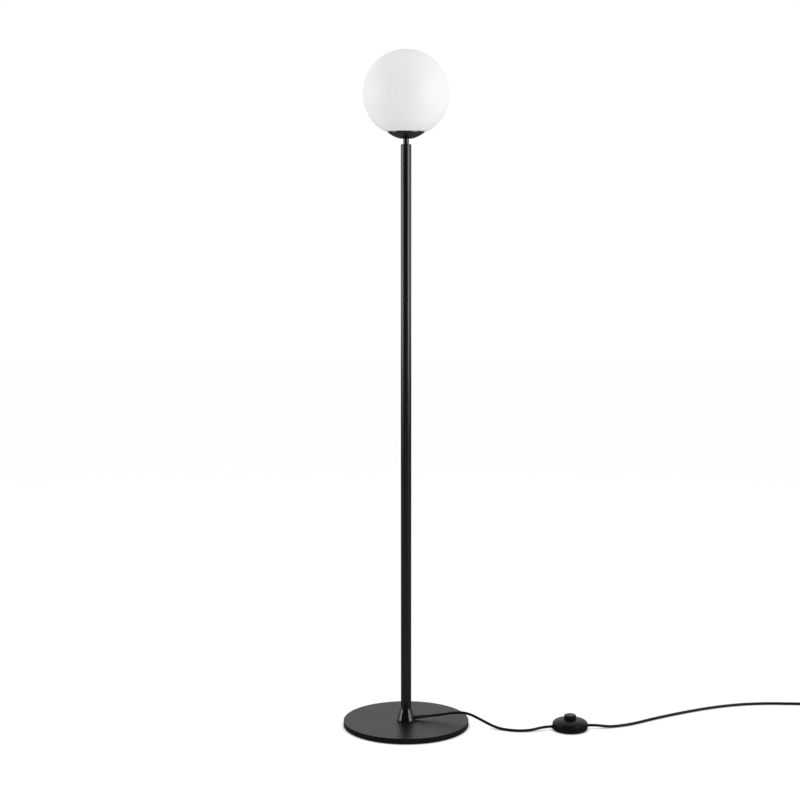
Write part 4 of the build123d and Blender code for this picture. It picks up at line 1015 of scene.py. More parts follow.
# ---------------------------------------------------------------- lampholder and bulb
@dataclass
class Lampholder:
    """Screw lampholder of black phenolic, with grip ribs, a shade thread and a brass sleeve."""

    foot: float = 1120.3
    radius: float = 14.0
    wall: float = 2.0
    stem_radius: float = 5.0
    boss_radius: float = 8.0
    boss_height: float = 8.0
    floor: float = 4.0
    cap_height: float = 20.0
    shell_height: float = 28.0
    mouth_radius: float = 9.0
    mouth_lip: float = 1.6
    relief: float = 0.45
    relief_step: Pair = (3.0, 3.4)
    rib_count: int = 36
    rib_depth: float = 0.55
    rib_edge: Pair = (0.3, 0.5)
    rib_ends: Pair = (3.4, 1.2)
    shade_foot: float = 5.0
    shade_turns: float = 8.0
    shade_height: float = 20.0
    shade_ridge: float = 0.54
    sleeve_foot: float = 1147.3
    sleeve_height: float = 18.0
    sleeve_bore: float = 7.08
    sleeve_radius: float = 7.55
    sleeve_ridge: float = 0.2
    sleeve_margin: float = 1.5
    sleeve_turns: float = 5.0
    sleeve_thread: float = 14.1

    @property
    def joint(self) -> float:
        """Height at which the two halves meet."""
        return self.foot + self.cap_height

    def cap(self) -> None:
        """Lower half, hollow over a boss for the stem."""
        foot, wide, bore = self.foot, self.radius - self.relief, self.radius - self.wall
        hole, boss = self.stem_radius + FIT, self.boss_radius
        outside = [(hole, foot, 0.3), (bore, foot, 0.4), (wide, foot + self.wall - self.relief, 0.6)]
        outside += [(wide, foot + self.cap_height, 0.15), (bore, foot + self.cap_height)]
        inside = [(bore, foot + self.floor), (boss, foot + self.floor)]
        inside += [(boss, foot + self.boss_height, 0.4), (hole, foot + self.boss_height, 0.3)]
        piece = turned("holder_lower", outside + inside, closed=True, segments=96)
        wear(piece, "holder_black", "holder_cap")

    def shell(self) -> None:
        """Upper half with its turned-in mouth."""
        low, bore, wide, full = self.joint, self.radius - self.wall, self.radius - self.relief, self.radius
        top, mouth = low + self.shell_height, self.mouth_radius
        under, (step, above) = top - self.mouth_lip, self.relief_step
        outside = [(bore, low), (full, low, 0.2), (full, low + step, 0.3), (wide, low + above, 0.2)]
        lip = [(wide, top, 0.8), (mouth, top, 0.7), (mouth, under, 0.4), (bore, under)]
        piece = turned("holder_upper", outside + lip, closed=True, segments=96)
        wear(piece, "holder_black", "holder_shell")

    def sleeve(self) -> None:
        """Rolled brass sleeve that takes the bulb's thread."""
        bore, low, top = self.sleeve_bore, self.sleeve_foot, self.sleeve_foot + self.sleeve_height
        outer = self.sleeve_radius - self.sleeve_ridge * 1.5
        section = [(bore, low), (outer, low), (outer, top, 0.1), (bore, top)]
        piece = turned("brass_sleeve", section, closed=True, segments=72, steps=3)
        wear(piece, "brass_plain", "thread_sleeve")

    def grip(self) -> None:
        """Grip ribs round the lower half."""
        (below, above), (flat, slope), depth = self.rib_ends, self.rib_edge, self.rib_depth
        low, top = self.foot + below, self.joint - above
        strip = [(0, low), (flat, low), (depth, low + slope), (depth, top - slope), (flat, top), (0, top)]
        ribs = grower(Growth.RING).grow(
            "grip_ribs", "holder_black", Count=self.rib_count, Radius=self.radius - depth,
            Piece=turned("rib", strip, segments=8)
        )
        wear(ribs, "holder_black")

    def threads(self) -> None:
        """Coarse thread for a shade on the upper half, and the rolled one of the sleeve."""
        shade = grower(Growth.THREAD).grow(
            "shade_thread", "holder_black", Radius=self.radius - self.relief - 0.1,
            Foot=self.joint + self.shade_foot, Height=self.shade_height, Turns=self.shade_turns,
            Ridge=self.shade_ridge
        )
        wear(shade, "holder_black")
        rolled = grower(Growth.THREAD).grow(
            "sleeve_thread", "brass_plain", Radius=self.sleeve_radius - self.sleeve_ridge * 1.4,
            Foot=self.sleeve_foot + self.sleeve_margin, Height=self.sleeve_thread, Turns=self.sleeve_turns,
            Ridge=self.sleeve_ridge
        )
        wear(rolled, "brass_plain")

    def build(self) -> None:
        """Make and place the pieces."""
        for make in (self.cap, self.shell, self.sleeve, self.grip, self.threads):
            make()


@dataclass
class Bulb:
    """Small-cap screw bulb: nickel cap, white housing and a frosted globe."""

    tip_foot: float = 1149.8
    tip_radius: float = 2.3
    tip_height: float = 1.6
    insulator_height: float = 2.6
    cap_foot: float = 1151.9
    cap_height: float = 17.0
    cap_radius: float = 6.95
    cap_wall: float = 0.35
    skirt_outside: Pair = (2.6, 1.6)
    skirt_inside: Pair = (1.5, 2.5)
    ridge: float = 0.5
    thread_margin: float = 1.2
    pitch: float = 2.82
    turns: float = 4.0
    housing_root: float = 4.0
    housing_foot_radius: float = 8.8
    housing_height: float = 19.0
    envelope_radius: float = 22.5
    envelope_wall: float = 1.0
    envelope_centre: float = 1205.3

    @property
    def cap_top(self) -> float:
        """Height at which the housing leaves the cap."""
        return self.cap_foot + self.cap_height

    @property
    def seat(self) -> float:
        """Height at which the envelope stands on the housing."""
        return self.cap_top + self.housing_height

    def tip(self) -> None:
        """Domed drop of solder."""
        low, top, wide = self.tip_foot, self.tip_foot + self.tip_height, self.tip_radius
        drop = turned("solder_drop", [(0, low), (wide, low, 1.1), (wide, top), (0, top)], segments=48)
        wear(drop, "solder_tip", "bulb_tip", body="bulb")

    def insulator(self) -> None:
        """Black glass between the tip and the cap."""
        foot, wide = self.tip_foot + self.tip_height / 2, self.cap_radius - 0.45
        hole, top = self.tip_radius + FIT, foot + self.insulator_height
        cone = [(self.cap_radius * 0.55, foot, 0.4), (wide, top, 0.1), (0, top)]
        profile = [(0, foot + 1.0), (hole, foot + 0.9), (hole, foot, 0.1), *cone]
        piece = turned("glass_insulator", profile, segments=64)
        wear(piece, "insulator_black", "bulb_insulator", body="bulb")

    def cap(self) -> None:
        """Thin cap with a curled skirt."""
        low, top, wide, wall = self.cap_foot, self.cap_top, self.cap_radius, self.cap_wall
        core, (start, end), (inner, back) = wide - self.ridge, self.skirt_outside, self.skirt_inside
        outside = [(core, low, 0.15), (core, top - start, 0.3), (wide, top - end, 0.3), (wide, top)]
        inside = [(wide - wall, top), (wide - wall, top - inner, 0.2), (core - wall, top - back, 0.2)]
        profile = [(core - wall, low), *outside, *inside]
        piece = turned("nickel_cap", profile, closed=True, segments=72, steps=4)
        wear(piece, "cap_nickel", "bulb_cap", body="bulb")

    def housing(self) -> None:
        """White housing with a fine joint line under the envelope."""
        foot, seat, slim, root = self.cap_top, self.seat, self.housing_foot_radius, self.cap_radius - 0.5
        wide = math.sqrt(self.envelope_radius**2 - (self.envelope_centre - seat) ** 2)
        low = foot - self.housing_root
        profile = [(0, low), (root, low, 0.3), (root, foot), (slim, foot, 0.6)]
        profile += [(slim, foot + self.housing_height / 5, 6.0), (wide - 0.25, seat - 0.9)]
        profile += [(wide - 0.25, seat - 0.5), (wide - 0.1, seat - 0.5), (wide, seat), (0, seat)]
        piece = turned("bulb_housing", profile, segments=96, steps=8)
        wear(piece, "bulb_white", "bulb_collar", body="bulb")

    def envelope(self) -> None:
        """Frosted globe, open at its foot."""
        outer, inner = self.envelope_radius, self.envelope_radius - self.envelope_wall
        drop, middle = self.envelope_centre - self.seat, (0, self.envelope_centre)
        low_out, low_in = (-math.degrees(math.asin(drop / radius)) for radius in (outer, inner))
        outside = arc(middle, (outer, outer), 90, low_out, 48)
        inside = arc(middle, (inner, inner), low_in, 90, 40)
        outside[0], inside[-1] = (0, outside[0][1]), (0, inside[-1][1])
        piece = turned("frosted_envelope", outside + inside, segments=112)
        wear(piece, "bulb_frosted", "bulb_envelope", body="bulb")

    def thread(self) -> None:
        """The cap's rolled thread."""
        thread = grower(Growth.THREAD).grow(
            "cap_thread", "cap_nickel", Radius=self.cap_radius - self.ridge - 0.03,
            Foot=self.cap_foot + self.thread_margin, Height=self.turns * self.pitch, Turns=self.turns,
            Ridge=self.ridge
        )
        wear(thread, "cap_nickel", body="bulb")

    def build(self) -> None:
        """Make and place the pieces."""
        for make in (self.tip, self.insulator, self.cap, self.housing, self.envelope, self.thread):
            make()


# ---------------------------------------------------------------- foot switch
@dataclass
class FootSwitch:
    """Round foot switch in the lead: two moulded shells and a push button."""

    spot: Pair = (312.6, -27.5)
    turn: float = 6.5
    radius: float = 33.35
    wall: float = 2.2
    pad_radius: float = 21.5
    pad_height: float = 0.8
    pad_rings: int = 4
    pad_ring_step: float = 4.6
    pad_ring_edges: Pair = (0.9, 1.2)
    pad_hollow: float = 0.25
    foot_round: float = 2.8
    floor: float = 2.0
    parting: float = 12.7
    cover_step: float = 0.4
    cover_top: float = 20.6
    cover_wall: float = 2.0
    button_radius: float = 11.5
    button_gap: float = 0.3
    button_top: float = 29.2
    button_wall: float = 2.0
    button_round: float = 2.6
    button_dish: float = 0.45
    dish_share: float = 0.66
    flange_radius: float = 13.2
    flange_foot: float = 16.8
    flange_height: float = 1.5
    press_travel: float = 3.5
    spring_radius: float = 4.2
    spring_wire: float = 0.4
    spring_foot: float = 12.05
    spring_head: float = 27.15
    spring_turns: float = 5.0
    cord_height: float = 7.0
    cord_hole: float = 3.35
    hole_reach: Pair = (28.0, 37.0)
    grommet_bore: float = 2.65
    grommet_neck: float = 3.3
    grommet_flange: float = 3.9
    grommet_inside: Pair = (28.2, 29.5)
    grommet_outside: Pair = (33.7, 35.0)
    screw_circle: float = 26.0
    screw_head: float = 2.7
    screw_shank: float = 1.2
    screw_depth: float = 1.6
    screw_grip: float = 2.4
    screw_slit: Point = (3.2, 0.6, 1.8)
    sink_gap: float = 0.3
    screw_count: int = 3
    boss_radius: float = 3.2
    boss_bore: float = 1.5

    @property
    def place(self) -> Matrix:
        """The switch's own frame, with its axis up and the lead along X."""
        return Matrix.Translation((*self.spot, 0.0)) @ Matrix.Rotation(math.radians(self.turn), 4, "Z")

    @property
    def inside(self) -> float:
        """Height of the lower shell's floor."""
        return self.pad_height + self.floor

    def upright(self, name: str, radius: float, low: float, high: float) -> list[Piece]:
        """Rods at the screws, to add or to cut.

        Args:
            name: Name of each rod.
            radius: Radius of each rod.
            low: Height of its foot.
            high: Height of its top.

        Returns:
            The rods.
        """
        rods = []
        for index in range(self.screw_count):
            angle = math.radians(90 + 360 * index / self.screw_count)
            spot = Vector((math.cos(angle), math.sin(angle), 0)) * self.screw_circle
            ends = [self.place @ Vector((spot.x, spot.y, height)) for height in (low, high)]
            rods.append(rod(name, radius, *ends, 32))
        return rods

    def base(self) -> None:
        """Lower shell with its bosses, its cord holes and the sinks for the screws."""
        low, parting, inside, wide = self.pad_height, self.parting, self.inside, self.radius
        inner = wide - self.wall
        outside = [(0, low), (wide, low, self.foot_round), (wide, parting, 0.3)]
        profile = [*outside, (inner, parting, 0.15), (inner, inside, 1.0), (0, inside)]
        shell = turned("switch_lower_shell", profile, segments=160, place=self.place, steps=8)
        bosses = self.upright("boss", self.boss_radius, inside - 0.2, parting - 0.2)
        whole = joined("switch_lower_body", [shell, *bosses])
        way, middle = self.place.to_3x3() @ Vector((1, 0, 0)), self.place @ Vector((0, 0, self.cord_height))
        cutters = []
        for side in (-1, 1):
            ends = [middle + way * side * reach for reach in self.hole_reach]
            cutters.append(rod("cord_hole", self.cord_hole, *ends))
        cutters += self.upright("bore", self.boss_bore, low - 1, parting + 1)
        cutters += self.upright("sink", self.screw_head + self.sink_gap, low - 1, inside)
        carve(whole, cutters)
        wear(whole, "switch_black", "switch_base")

    def cover(self) -> None:
        """Domed upper shell with a rounded lip round the button."""
        hole, wall = self.button_radius + self.button_gap, self.cover_wall
        reach, rise = self.radius - self.cover_step - hole, self.cover_top - self.parting
        outer = arc((hole, self.parting), (reach, rise), 0, 90, 40)
        inner = arc((hole, self.parting), (reach - wall, rise - wall), 90, 0, 32)
        lip = rounded([outer[-2], (hole, self.cover_top, 0.4), inner[0]])[1:-1]
        piece = turned("switch_upper_shell", outer[:-1] + lip + inner, True, 160, self.place)
        wear(piece, "switch_black", "switch_cover")

    def button(self) -> None:
        """Hollow button with a flange and a shallow dish on top."""
        wide, top, flange, low = self.button_radius, self.button_top, self.flange_radius, self.flange_foot
        high, bore, ceiling = low + self.flange_height, wide - self.button_wall, top - self.button_wall
        crown = arc((0, top), (wide * self.dish_share, self.button_dish), -90, 0, 12)
        side = [(wide, top, self.button_round), (wide, high, 0.2), (flange, high, 0.3), (flange, low, 0.3)]
        hollow = [(bore, low, 0.2), (bore, ceiling, 1.0), (0, ceiling)]
        profile = crown + rounded([crown[-1], *side, *hollow], steps=8)[1:]
        profile[0] = (0, top - self.button_dish)
        piece = turned("push_button", profile, segments=112, place=self.place)
        wear(piece, "switch_black", "switch_button", body="button", finish=BUTTON_ABS)

    def pad(self) -> None:
        """Rubber pad under the switch, with concentric grip rings."""
        wide, top, hollow = self.pad_radius, self.pad_height, self.pad_hollow
        face, foot = self.pad_ring_edges
        profile: list[Corner] = [(0, hollow)]
        for ring in range(1, self.pad_rings + 1):
            middle = ring * self.pad_ring_step
            profile += [(middle - foot, hollow, 0.1), (middle - face, 0, 0.1)]
            profile += [(middle + face, 0, 0.1), (middle + foot, hollow, 0.1)]
        profile += [(wide, 0.1, 0.08), (wide, top), (0, top)]
        piece = turned("switch_grip_pad", profile, segments=112, place=self.place, steps=3)
        wear(piece, "bushing_rubber", "switch_pad")

    def grommets(self) -> None:
        """Rubber grommets where the lead enters and leaves."""
        bore, neck, wide = self.grommet_bore, self.grommet_neck, self.grommet_flange
        (back, inner), (outer, face) = self.grommet_inside, self.grommet_outside
        profile = [(bore, back), (wide, back, 0.2), (wide, inner, 0.2), (neck, inner)]
        profile += [(neck, outer), (wide, outer, 0.2), (wide, face, 0.5), (bore, face, 0.2)]
        both = []
        for side in (-1, 1):
            way = self.place.to_3x3() @ Vector((side, 0, 0))
            place = along(self.place @ Vector((0, 0, self.cord_height)), way)
            both.append(turned("grommet", profile, closed=True, segments=48, place=place))
        wear(joined("cord_grommets", both), "bushing_rubber", "switch_grommets")

    def screws(self) -> None:
        """Cross-headed screws from below."""
        inside, head, shank = self.inside, self.screw_head, self.screw_shank
        low, end = inside - self.screw_depth, self.parting + self.screw_grip
        profile = [(0, low), (head, low, 0.5), (head, inside), (shank, inside), (shank, end, 0.4), (0, end)]
        screw = turned("screw", profile, segments=24, steps=3)
        for turn in (0, 90):
            slit = bmesh.new()
            bmesh.ops.create_cube(slit, size=1.0)
            size = Matrix.Diagonal((*self.screw_slit, 1.0))
            place = Matrix.Translation((0, 0, low)) @ Matrix.Rotation(math.radians(turn), 4, "Z")
            carve(screw, [finished_object("slit", slit, place @ size)])
        grown = grower(Growth.RING).grow(
            "cover_screws", "zinc_steel", self.place @ Matrix.Rotation(math.radians(90), 4, "Z"),
            Count=self.screw_count, Radius=self.screw_circle, Piece=screw
        )
        wear(grown, "zinc_steel", "switch_screws")

    def spring(self) -> None:
        """Return spring under the button, with a mesh of its own."""
        height = self.spring_head - self.spring_foot
        coils = grower(Growth.THREAD).grow(
            "return_spring", "spring_steel", self.place, Radius=self.spring_radius,
            Foot=self.spring_foot + self.spring_wire, Height=height - 2 * self.spring_wire,
            Turns=self.spring_turns, Ridge=self.spring_wire
        )
        wear(coils, "spring_steel", "button_spring")
        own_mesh(coils)

    def build(self) -> None:
        """Make and place the pieces."""
        for make in (self.spring, self.base, self.cover, self.button, self.pad, self.grommets, self.screws):
            make()


# ---------------------------------------------------------------- plug
@dataclass
class WallPlug:
    """Flat two-pin plug, moulded on the lead's end with a ribbed relief."""

    start: Point = (885.2, 126.05, 6.85)
    relief_length: float = 22.0
    relief_tip: float = 3.4
    relief_root: float = 4.8
    rib_height: float = 0.25
    rib_count: int = 8
    rib_margins: Pair = (2.2, 1.0)
    width: float = 35.3
    thickness: float = 13.7
    length: float = 35.4
    taper: float = 15.0
    rear_width: float = 0.45
    rear_thickness: float = 0.8
    rear_lip: float = 0.4
    rear_inset: float = 0.9
    neck_gain: Pair = (0.05, 0.03)
    swell_steps: int = 10
    swell_power: float = 1.15
    shoulder: float = 0.35
    face_round: float = 1.0
    edge_round: float = 1.6
    pin_radius: float = 2.0
    pin_root_radius: float = 1.6
    pin_root: float = 8.0
    pin_sleeve: float = 10.0
    pin_length: float = 19.0
    pin_spacing: float = 18.6

    @property
    def place(self) -> Matrix:
        """The plug's own frame: +Z along the lead, X across the plug and Y through it."""
        return Matrix.Translation(self.start) @ Matrix(((0, 0, 1), (1, 0, 0), (0, 1, 0))).to_4x4()

    @property
    def face(self) -> float:
        """How far the plug's face lies from the relief's tip."""
        return self.relief_length + self.length

    def section(self, station: float, wide: float, thick: float, inset: float = 0.0) -> list[Point]:
        """The body's six-sided section with soft corners.

        Args:
            station: How far along the plug it lies.
            wide: Share of the full width.
            thick: Share of the full thickness.
            inset: How far its outline is drawn in.

        Returns:
            Its points.
        """
        width, thickness = self.width * wide - 2 * inset, self.thickness * thick - 2 * inset
        side, rise = width / 2, thickness / 2
        shoulder = side - thickness * self.shoulder
        half = [(side, 0), (shoulder, rise), (-shoulder, rise)]
        corners = [(x * turn, y * turn, self.edge_round) for turn in (1, -1) for x, y in half]
        return [(x, y, station) for x, y in rounded(corners, closed=True, steps=6)]

    def body(self) -> None:
        """Flat body that widens from the relief to its face."""
        rear, full = self.relief_length, self.relief_length + self.taper
        wide, thick = self.rear_width, self.rear_thickness
        neck, (more_wide, more_thick) = rear + self.rear_lip, self.neck_gain
        first = (wide + more_wide, thick + more_thick)
        sections = [self.section(rear, wide, thick, self.rear_inset), self.section(neck, *first)]
        for step in range(1, self.swell_steps + 1):
            part = step / self.swell_steps
            swell = math.sin(part * math.pi / 2) ** self.swell_power
            shares = [start + (1 - start) * swell for start in first]
            sections.append(self.section(neck + (full - rear - self.rear_lip) * part, *shares))
        for step in range(6):
            angle, soft = math.radians(18 * step), self.face_round
            station = self.face - soft * (1 - math.sin(angle))
            sections.append(self.section(station, 1.0, 1.0, soft * (1 - math.cos(angle))))
        piece = lofted("plug_moulding", sections, self.place)
        holes = []
        for side in (-1, 1):
            across = side * self.pin_spacing / 2
            ends = [self.place @ Vector((across, 0, z)) for z in (self.face - self.pin_root, self.face + 0.5)]
            holes.append(rod("pin_hole", self.pin_root_radius + FIT, *ends))
        carve(piece, holes)
        wear(piece, "switch_black", "plug_body")

    def relief(self) -> None:
        """Tapered sleeve where the lead enters, with its ribs."""
        tip, root = (radius - self.rib_height for radius in (self.relief_tip, self.relief_root))
        length = self.relief_length
        profile = [(0, 0), (tip, 0, 0.4), (root, length), (0, length)]
        sleeve = turned("relief_sleeve", profile, segments=64, place=self.place)
        wear(sleeve, "cord_black", "plug_relief", finish=MOULDED_RUBBER)
        start, way, (first, last) = Vector(self.start), Vector((1, 0, 0)), self.rib_margins
        ribs = grower(Growth.ROW).grow(
            "relief_ribs", "cord_black", Start=start + way * first, End=start + way * (length - last),
            Count=self.rib_count, Start_Scale=self.relief_tip + 0.1, End_Scale=self.relief_root - 0.05,
            Piece=rib_ring(0.5, 1.0, 0.7, 40)
        )
        wear(ribs, "cord_black", finish=MOULDED_RUBBER)

    def pins(self) -> None:
        """Round pins with a sleeved root."""
        face, wide, root = self.face, self.pin_radius, self.pin_root_radius
        low, sleeve, end = face - self.pin_root, face + self.pin_sleeve, face + self.pin_length
        profile = [(0, low), (root, low), (root, face), (wide - 0.05, face), (wide - 0.05, sleeve)]
        profile += [(wide, sleeve), (wide, end, 1.4), (0, end)]
        spots = [Matrix.Translation((side * self.pin_spacing / 2, 0, 0)) for side in (-1, 1)]
        pair = [turned("pin", profile, segments=48, place=self.place @ spot, steps=6) for spot in spots]
        finish = SleevedPin("sleeved_nickel_pin", self.start[0] + sleeve, NICKEL, SWITCH_ABS)
        wear(joined("round_pins", pair), "pin_nickel", "plug_pins", finish=finish)

    def build(self) -> None:
        """Make and place the pieces."""
        for make in (self.body, self.relief, self.pins):
            make()


# ---------------------------------------------------------------- lead
class FarEnd(Enum):
    """What stands at the far end of a stretch of the lead."""

    SWITCH = "fitting"
    PLUG = "plug"


class Lay(Enum):
    """How a stretch of the lead lies."""

    LOOSE = "loose"
    COILED = "coiled"


@dataclass
class Lead:
    """One free stretch of the round two-core lead, lying as its route says, in metres.

    Attributes:
        name: Name of the curve.
        route: Points that the lead follows, from where it leaves the lamp or the switch.
        length: Real length of the stretch; not used.
        far_end: What it ends at; not used.
        lay: How it lies; not used.
        replaces: CAD nodes that it stands for.
        with_pieces: Pieces at its far end; not used.
        diameter: Diameter of the sheath.
    """

    name: str
    route: Sequence[Point]
    length: float
    far_end: FarEnd
    lay: Lay
    replaces: Sequence[str]
    with_pieces: Sequence[str]
    diameter: float = 5.2 * MM

    def build(self) -> None:
        data = bpy.data.curves.new(self.name, "CURVE")
        data.dimensions = "3D"
        data.bevel_depth = self.diameter / 2
        data.bevel_resolution = 6
        data.resolution_u = 10
        data.use_fill_caps = True
        spline = data.splines.new("NURBS")
        spline.points.add(len(self.route) - 1)
        for point, place in zip(spline.points, self.route):
            point.co = (*place, 1.0)
        spline.order_u = 3
        spline.use_endpoint_u = True
        piece = linked(self.name, data)
        wear(piece, "cord_black", *self.replaces)


@dataclass
class SpareCoil:
    """The put-away length, in metres: turns in to the middle, up a layer, and out again on top."""

    centre: Pair = (836.0 * MM, 91.6 * MM)
    outer_radius: float = 37.4 * MM
    pitch: float = 5.9 * MM
    rise: float = 5.8 * MM
    floor_height: float = 2.6 * MM
    turns_in: float = 3.0
    turns_out: float = 2.5
    points_per_turn: int = 16

    def place(self, turns: float) -> Point:
        """Middle of the lead after a number of turns from where it arrives.

        Args:
            turns: Turns made so far, clockwise seen from above.

        Returns:
            The point.
        """
        inner = self.outer_radius - self.pitch * self.turns_in
        if turns <= self.turns_in:
            radius, height = self.outer_radius - self.pitch * turns, 0.0
        elif turns >= self.turns_in + 0.5:
            radius, height = inner + self.pitch * (turns - self.turns_in - 0.5), 1.0
        else:
            part = (turns - self.turns_in) * 2
            radius = inner - self.pitch / 2 * (part - part**2)
            height = part**2 * (3 - 2 * part)
        angle = 2 * math.pi * turns
        x, y = self.centre
        level = self.floor_height + self.rise * height
        return (x + radius * math.sin(angle), y + radius * math.cos(angle), level)

    def route(self) -> list[Point]:
        """Control points of all the turns, a little outside the lead's middle so that it meets it.

        Returns:
            The points in order.
        """
        steps = round((self.turns_in + 0.5 + self.turns_out) * self.points_per_turn)
        swell = 1 / math.cos(math.pi / self.points_per_turn)
        points = []
        for step in range(steps + 1):
            spot = Vector(self.place(step / self.points_per_turn))
            middle = Vector((*self.centre, spot.z))
            points.append(tuple(middle + (spot - middle) * (swell**0.5)))
        return points


# out of the bushing, down off the plate and on to the switch
LAMP_SIDE_ROUTE: list[Point] = [
    (0.04096, 0.0, 0.0179), (0.06585, 0.0, 0.0203), (0.093, -0.004, 0.0265), (0.119, -0.0085, 0.0263),
    (0.146, -0.0165, 0.014), (0.173, -0.0275, 0.0026), (0.204, -0.0435, 0.0026), (0.235, -0.0425, 0.0026),
    (0.26292, -0.03316, 0.007), (0.27782, -0.03146, 0.007)
]
# out of the switch and along the floor to the coil
WALL_SIDE_ROUTE: list[Point] = [
    (0.34738, -0.02354, 0.007), (0.36228, -0.02184, 0.007), (0.389, -0.02, 0.0026), (0.432, -0.0035, 0.0026),
    (0.482, 0.034, 0.0026), (0.54, 0.0705, 0.0026), (0.6, 0.103, 0.0026), (0.657, 0.1245, 0.0026),
    (0.712, 0.133, 0.0026), (0.76, 0.1315, 0.0026), (0.8008, 0.129, 0.0026)
]
# off the coil's top layer and down into the plug's relief
PLUG_TAIL_ROUTE: list[Point] = [
    (0.85, 0.12605, 0.0084), (0.865, 0.12605, 0.0077), (0.88, 0.12605, 0.00685), (0.8852, 0.12605, 0.00685)
]

SWITCH_END_PIECES = (
    "switch_lower_body", "switch_upper_shell", "push_button", "switch_grip_pad", "cord_grommets",
    "cover_screws"
)
PLUG_END_PIECES = ("plug_moulding", "relief_sleeve", "relief_ribs", "round_pins")


def lay_leads() -> None:
    """Lay both stretches of the lead, to the foot switch and on to the plug."""
    Lead(
        "lead_to_switch", LAMP_SIDE_ROUTE, 0.250, FarEnd.SWITCH, Lay.LOOSE, ["cord_lamp_side"],
        SWITCH_END_PIECES
    ).build()
    Lead(
        "lead_to_plug", WALL_SIDE_ROUTE + SpareCoil().route() + PLUG_TAIL_ROUTE, 1.60, FarEnd.PLUG,
        Lay.COILED, ["cord_wall_side", "cord_coil"], PLUG_END_PIECES
    ).build()


# ---------------------------------------------------------------- stage
@dataclass
class SoftLamp:
    """One large soft light that points at the lamp."""

    name: str
    place: Point
    size: Pair
    watts: float
    aim: Point = (0.0, 0.0, 1.1)

    def build(self) -> None:
        """Add the light."""
        data = bpy.data.lights.new(self.name, "AREA")
        data.shape = "RECTANGLE"
        data.size, data.size_y = self.size
        data.energy = self.watts
        lamp = linked(self.name, data)
        lamp.location = self.place
        way = Vector(self.aim) - Vector(self.place)
        lamp.rotation_euler = way.to_track_quat("-Z", "Y").to_euler()


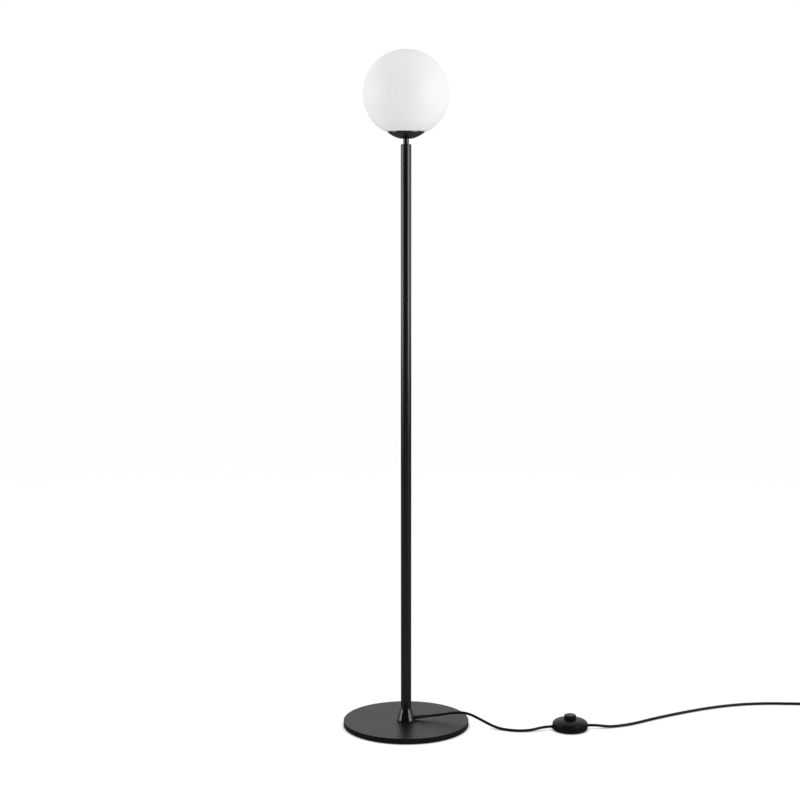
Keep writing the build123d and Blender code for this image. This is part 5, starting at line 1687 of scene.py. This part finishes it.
@dataclass
class Studio:
    """White room, soft lights and the photograph's camera, in metres.

    Attributes:
        lens: Focal length over a 36 mm frame.
        camera_place: Where the camera stands.
        pitch_down: Its tilt in radians.
        shift_x: The photograph's framing.
        floor_size: Width of the floor.
        floor_grey: The floor's own colour.
        fill: Strength of the room's light on the object.
        front_wall: Strength of the room in mirrors, on the camera's side.
        floor_glow: Strength of the floor as the camera sees it.
        floor_bounce: Strength of the floor's light on the object.
        floor_mirror: Strength of the floor in mirrors, near the object.
        mirror_reach: Distances over which that fades out.
        shadow_reach: How near a piece has to be for the painted contact shadow that darkens the floor's glow.
        lamps: The soft lights.
    """

    lens: float = 78.285
    camera_place: Point = (0.0, -3.2448, 1.02763)
    pitch_down: float = 0.12204
    shift_x: float = -0.00759
    floor_size: float = 14.0
    floor_grey: str = "6c6c6c"
    fill: float = 0.52
    front_wall: float = 0.03
    floor_glow: float = 0.9
    floor_bounce: float = 0.7
    floor_mirror: float = 0.05
    mirror_reach: Pair = (0.3, 2.5)
    shadow_reach: float = 0.006
    lamps: tuple[SoftLamp, ...] = (
        SoftLamp("key_right", (2.4, -1.5, 1.5), (1.9, 2.3), 51.0),
        SoftLamp("side_left", (-2.7, -0.5, 1.5), (1.3, 2.3), 38.0),
        SoftLamp("overhead", (0.0, 0.1, 2.9), (1.6, 1.2), 7.0)
    )

    def camera(self) -> None:
        """Add the camera at the photograph's viewing angle."""
        data = bpy.data.cameras.new("camera")
        data.lens = self.lens
        data.sensor_width = 36.0
        data.shift_x = self.shift_x
        data.clip_end = 100.0
        camera = linked("camera", data)
        camera.location = self.camera_place
        camera.rotation_euler = (math.pi / 2 - self.pitch_down, 0.0, 0.0)
        bpy.context.scene.camera = camera

    def strength(self, tree: Tree, lit: float, mirrored: Node, seen: float) -> Node:
        """Strength of a glow that depends on the ray that meets it.

        Args:
            tree: The tree that gets the nodes.
            lit: Strength for rays that light the object.
            mirrored: Strength for rays from glossy and through clear surfaces.
            seen: Strength for the camera's rays.

        Returns:
            The node that gives the strength.
        """
        path = add_node(tree, "ShaderNodeLightPath").outputs
        either = {0: path["Is Glossy Ray"], 1: path["Is Transmission Ray"]}
        mirror = add_node(tree, "ShaderNodeMath", either, operation="MAXIMUM")
        near = add_node(tree, "ShaderNodeMix", {0: mirror, 2: lit, 3: mirrored}, data_type="FLOAT")
        ends = {0: path["Is Camera Ray"], 2: near, 3: seen}
        return add_node(tree, "ShaderNodeMix", ends, data_type="FLOAT")

    def paper(self) -> bpy.types.Material:
        """Make the white paper: its matt part takes a faint real contact shadow, and its glow gets a painted
        contact shadow near the pieces.

        Returns:
            The material.
        """
        made = bpy.data.materials.new("studio_paper")
        tree = cleared_tree(made)
        spot = add_node(tree, "ShaderNodeTexCoord").outputs["Object"]
        distance = add_node(tree, "ShaderNodeVectorMath", {0: spot}, operation="LENGTH").outputs["Value"]
        (near, far), bright = self.mirror_reach, self.floor_mirror
        fade = {"Value": distance, "From Min": near, "From Max": far, "To Min": bright, "To Max": 0.0}
        mirrored = add_node(tree, "ShaderNodeMapRange", fade)
        strength = self.strength(tree, self.floor_bounce, mirrored, self.floor_glow)
        # Ambient occlusion darkens the floor's glow near the pieces: a painted contact shadow.
        painted_contact_shadow = add_node(tree, "ShaderNodeAmbientOcclusion", {"Distance": self.shadow_reach}, samples=8)
        matt = add_node(tree, "ShaderNodeBsdfDiffuse", {"Color": linear(self.floor_grey)})
        glow = add_node(tree, "ShaderNodeEmission", {"Color": painted_contact_shadow, "Strength": strength})
        both = add_node(tree, "ShaderNodeAddShader", {0: matt, 1: glow})
        add_node(tree, "ShaderNodeOutputMaterial", {"Surface": both})
        return made

    def floor(self) -> None:
        """Add the floor."""
        shape = bmesh.new()
        bmesh.ops.create_grid(shape, x_segments=4, y_segments=4, size=self.floor_size / 2 / MM)
        piece = finished_object("studio_floor", shape)
        piece.data.materials.append(self.paper())

    def sky(self) -> None:
        """Make the white room, whose mirrored side in front of the object is dim."""
        world = bpy.data.worlds.new("studio_air")
        tree = cleared_tree(world)
        way = add_node(tree, "ShaderNodeTexCoord").outputs["Generated"]
        behind = add_node(tree, "ShaderNodeSeparateXYZ", {0: way}).outputs["Y"]
        walls = {"Value": behind, "From Min": -0.1, "From Max": 0.5, "To Min": self.front_wall, "To Max": 1.0}
        mirrored = add_node(tree, "ShaderNodeMapRange", walls, interpolation_type="SMOOTHSTEP")
        strength = self.strength(tree, self.fill, mirrored, 1.0)
        air = add_node(tree, "ShaderNodeBackground", {"Color": linear("ffffff"), "Strength": strength})
        add_node(tree, "ShaderNodeOutputWorld", {"Surface": air})
        bpy.context.scene.world = world

    def build(self) -> None:
        """Set up the whole studio."""
        self.camera()
        self.floor()
        self.sky()
        for lamp in self.lamps:
            lamp.build()
        bpy.context.scene.view_settings.view_transform = "Standard"


def dress_remaining_nodes() -> None:
    """Give every CAD node that is still shown the finish of its slot."""
    slots = {entry["node"]: entry["material_slot"] for entry in frame["record"]["subparts"]}
    for name, node in frame["nodes"].items():
        if node.hide_render:
            continue
        for holder in node.material_slots:
            holder.material = SLOT_FINISH[slots[name]].material()
        log.info("%s keeps its CAD shape in %s", name, slots[name])


def main() -> None:
    """Build the lamp from the floor up, then its lead and the studio."""
    logging.basicConfig(level=logging.INFO, format="%(name)s: %(message)s")
    kept = set(frame["nodes"].values()) | set(frame["bodies"].values())
    for leftover in [o for o in bpy.data.objects if o not in kept]:
        bpy.data.objects.remove(leftover)
    for assembly in (Foot(), Column(), Globe(), Lampholder(), Bulb(), FootSwitch(), WallPlug()):
        assembly.build()
    lay_leads()
    dress_remaining_nodes()
    Studio().build()


if __name__ == "__main__":
    main()
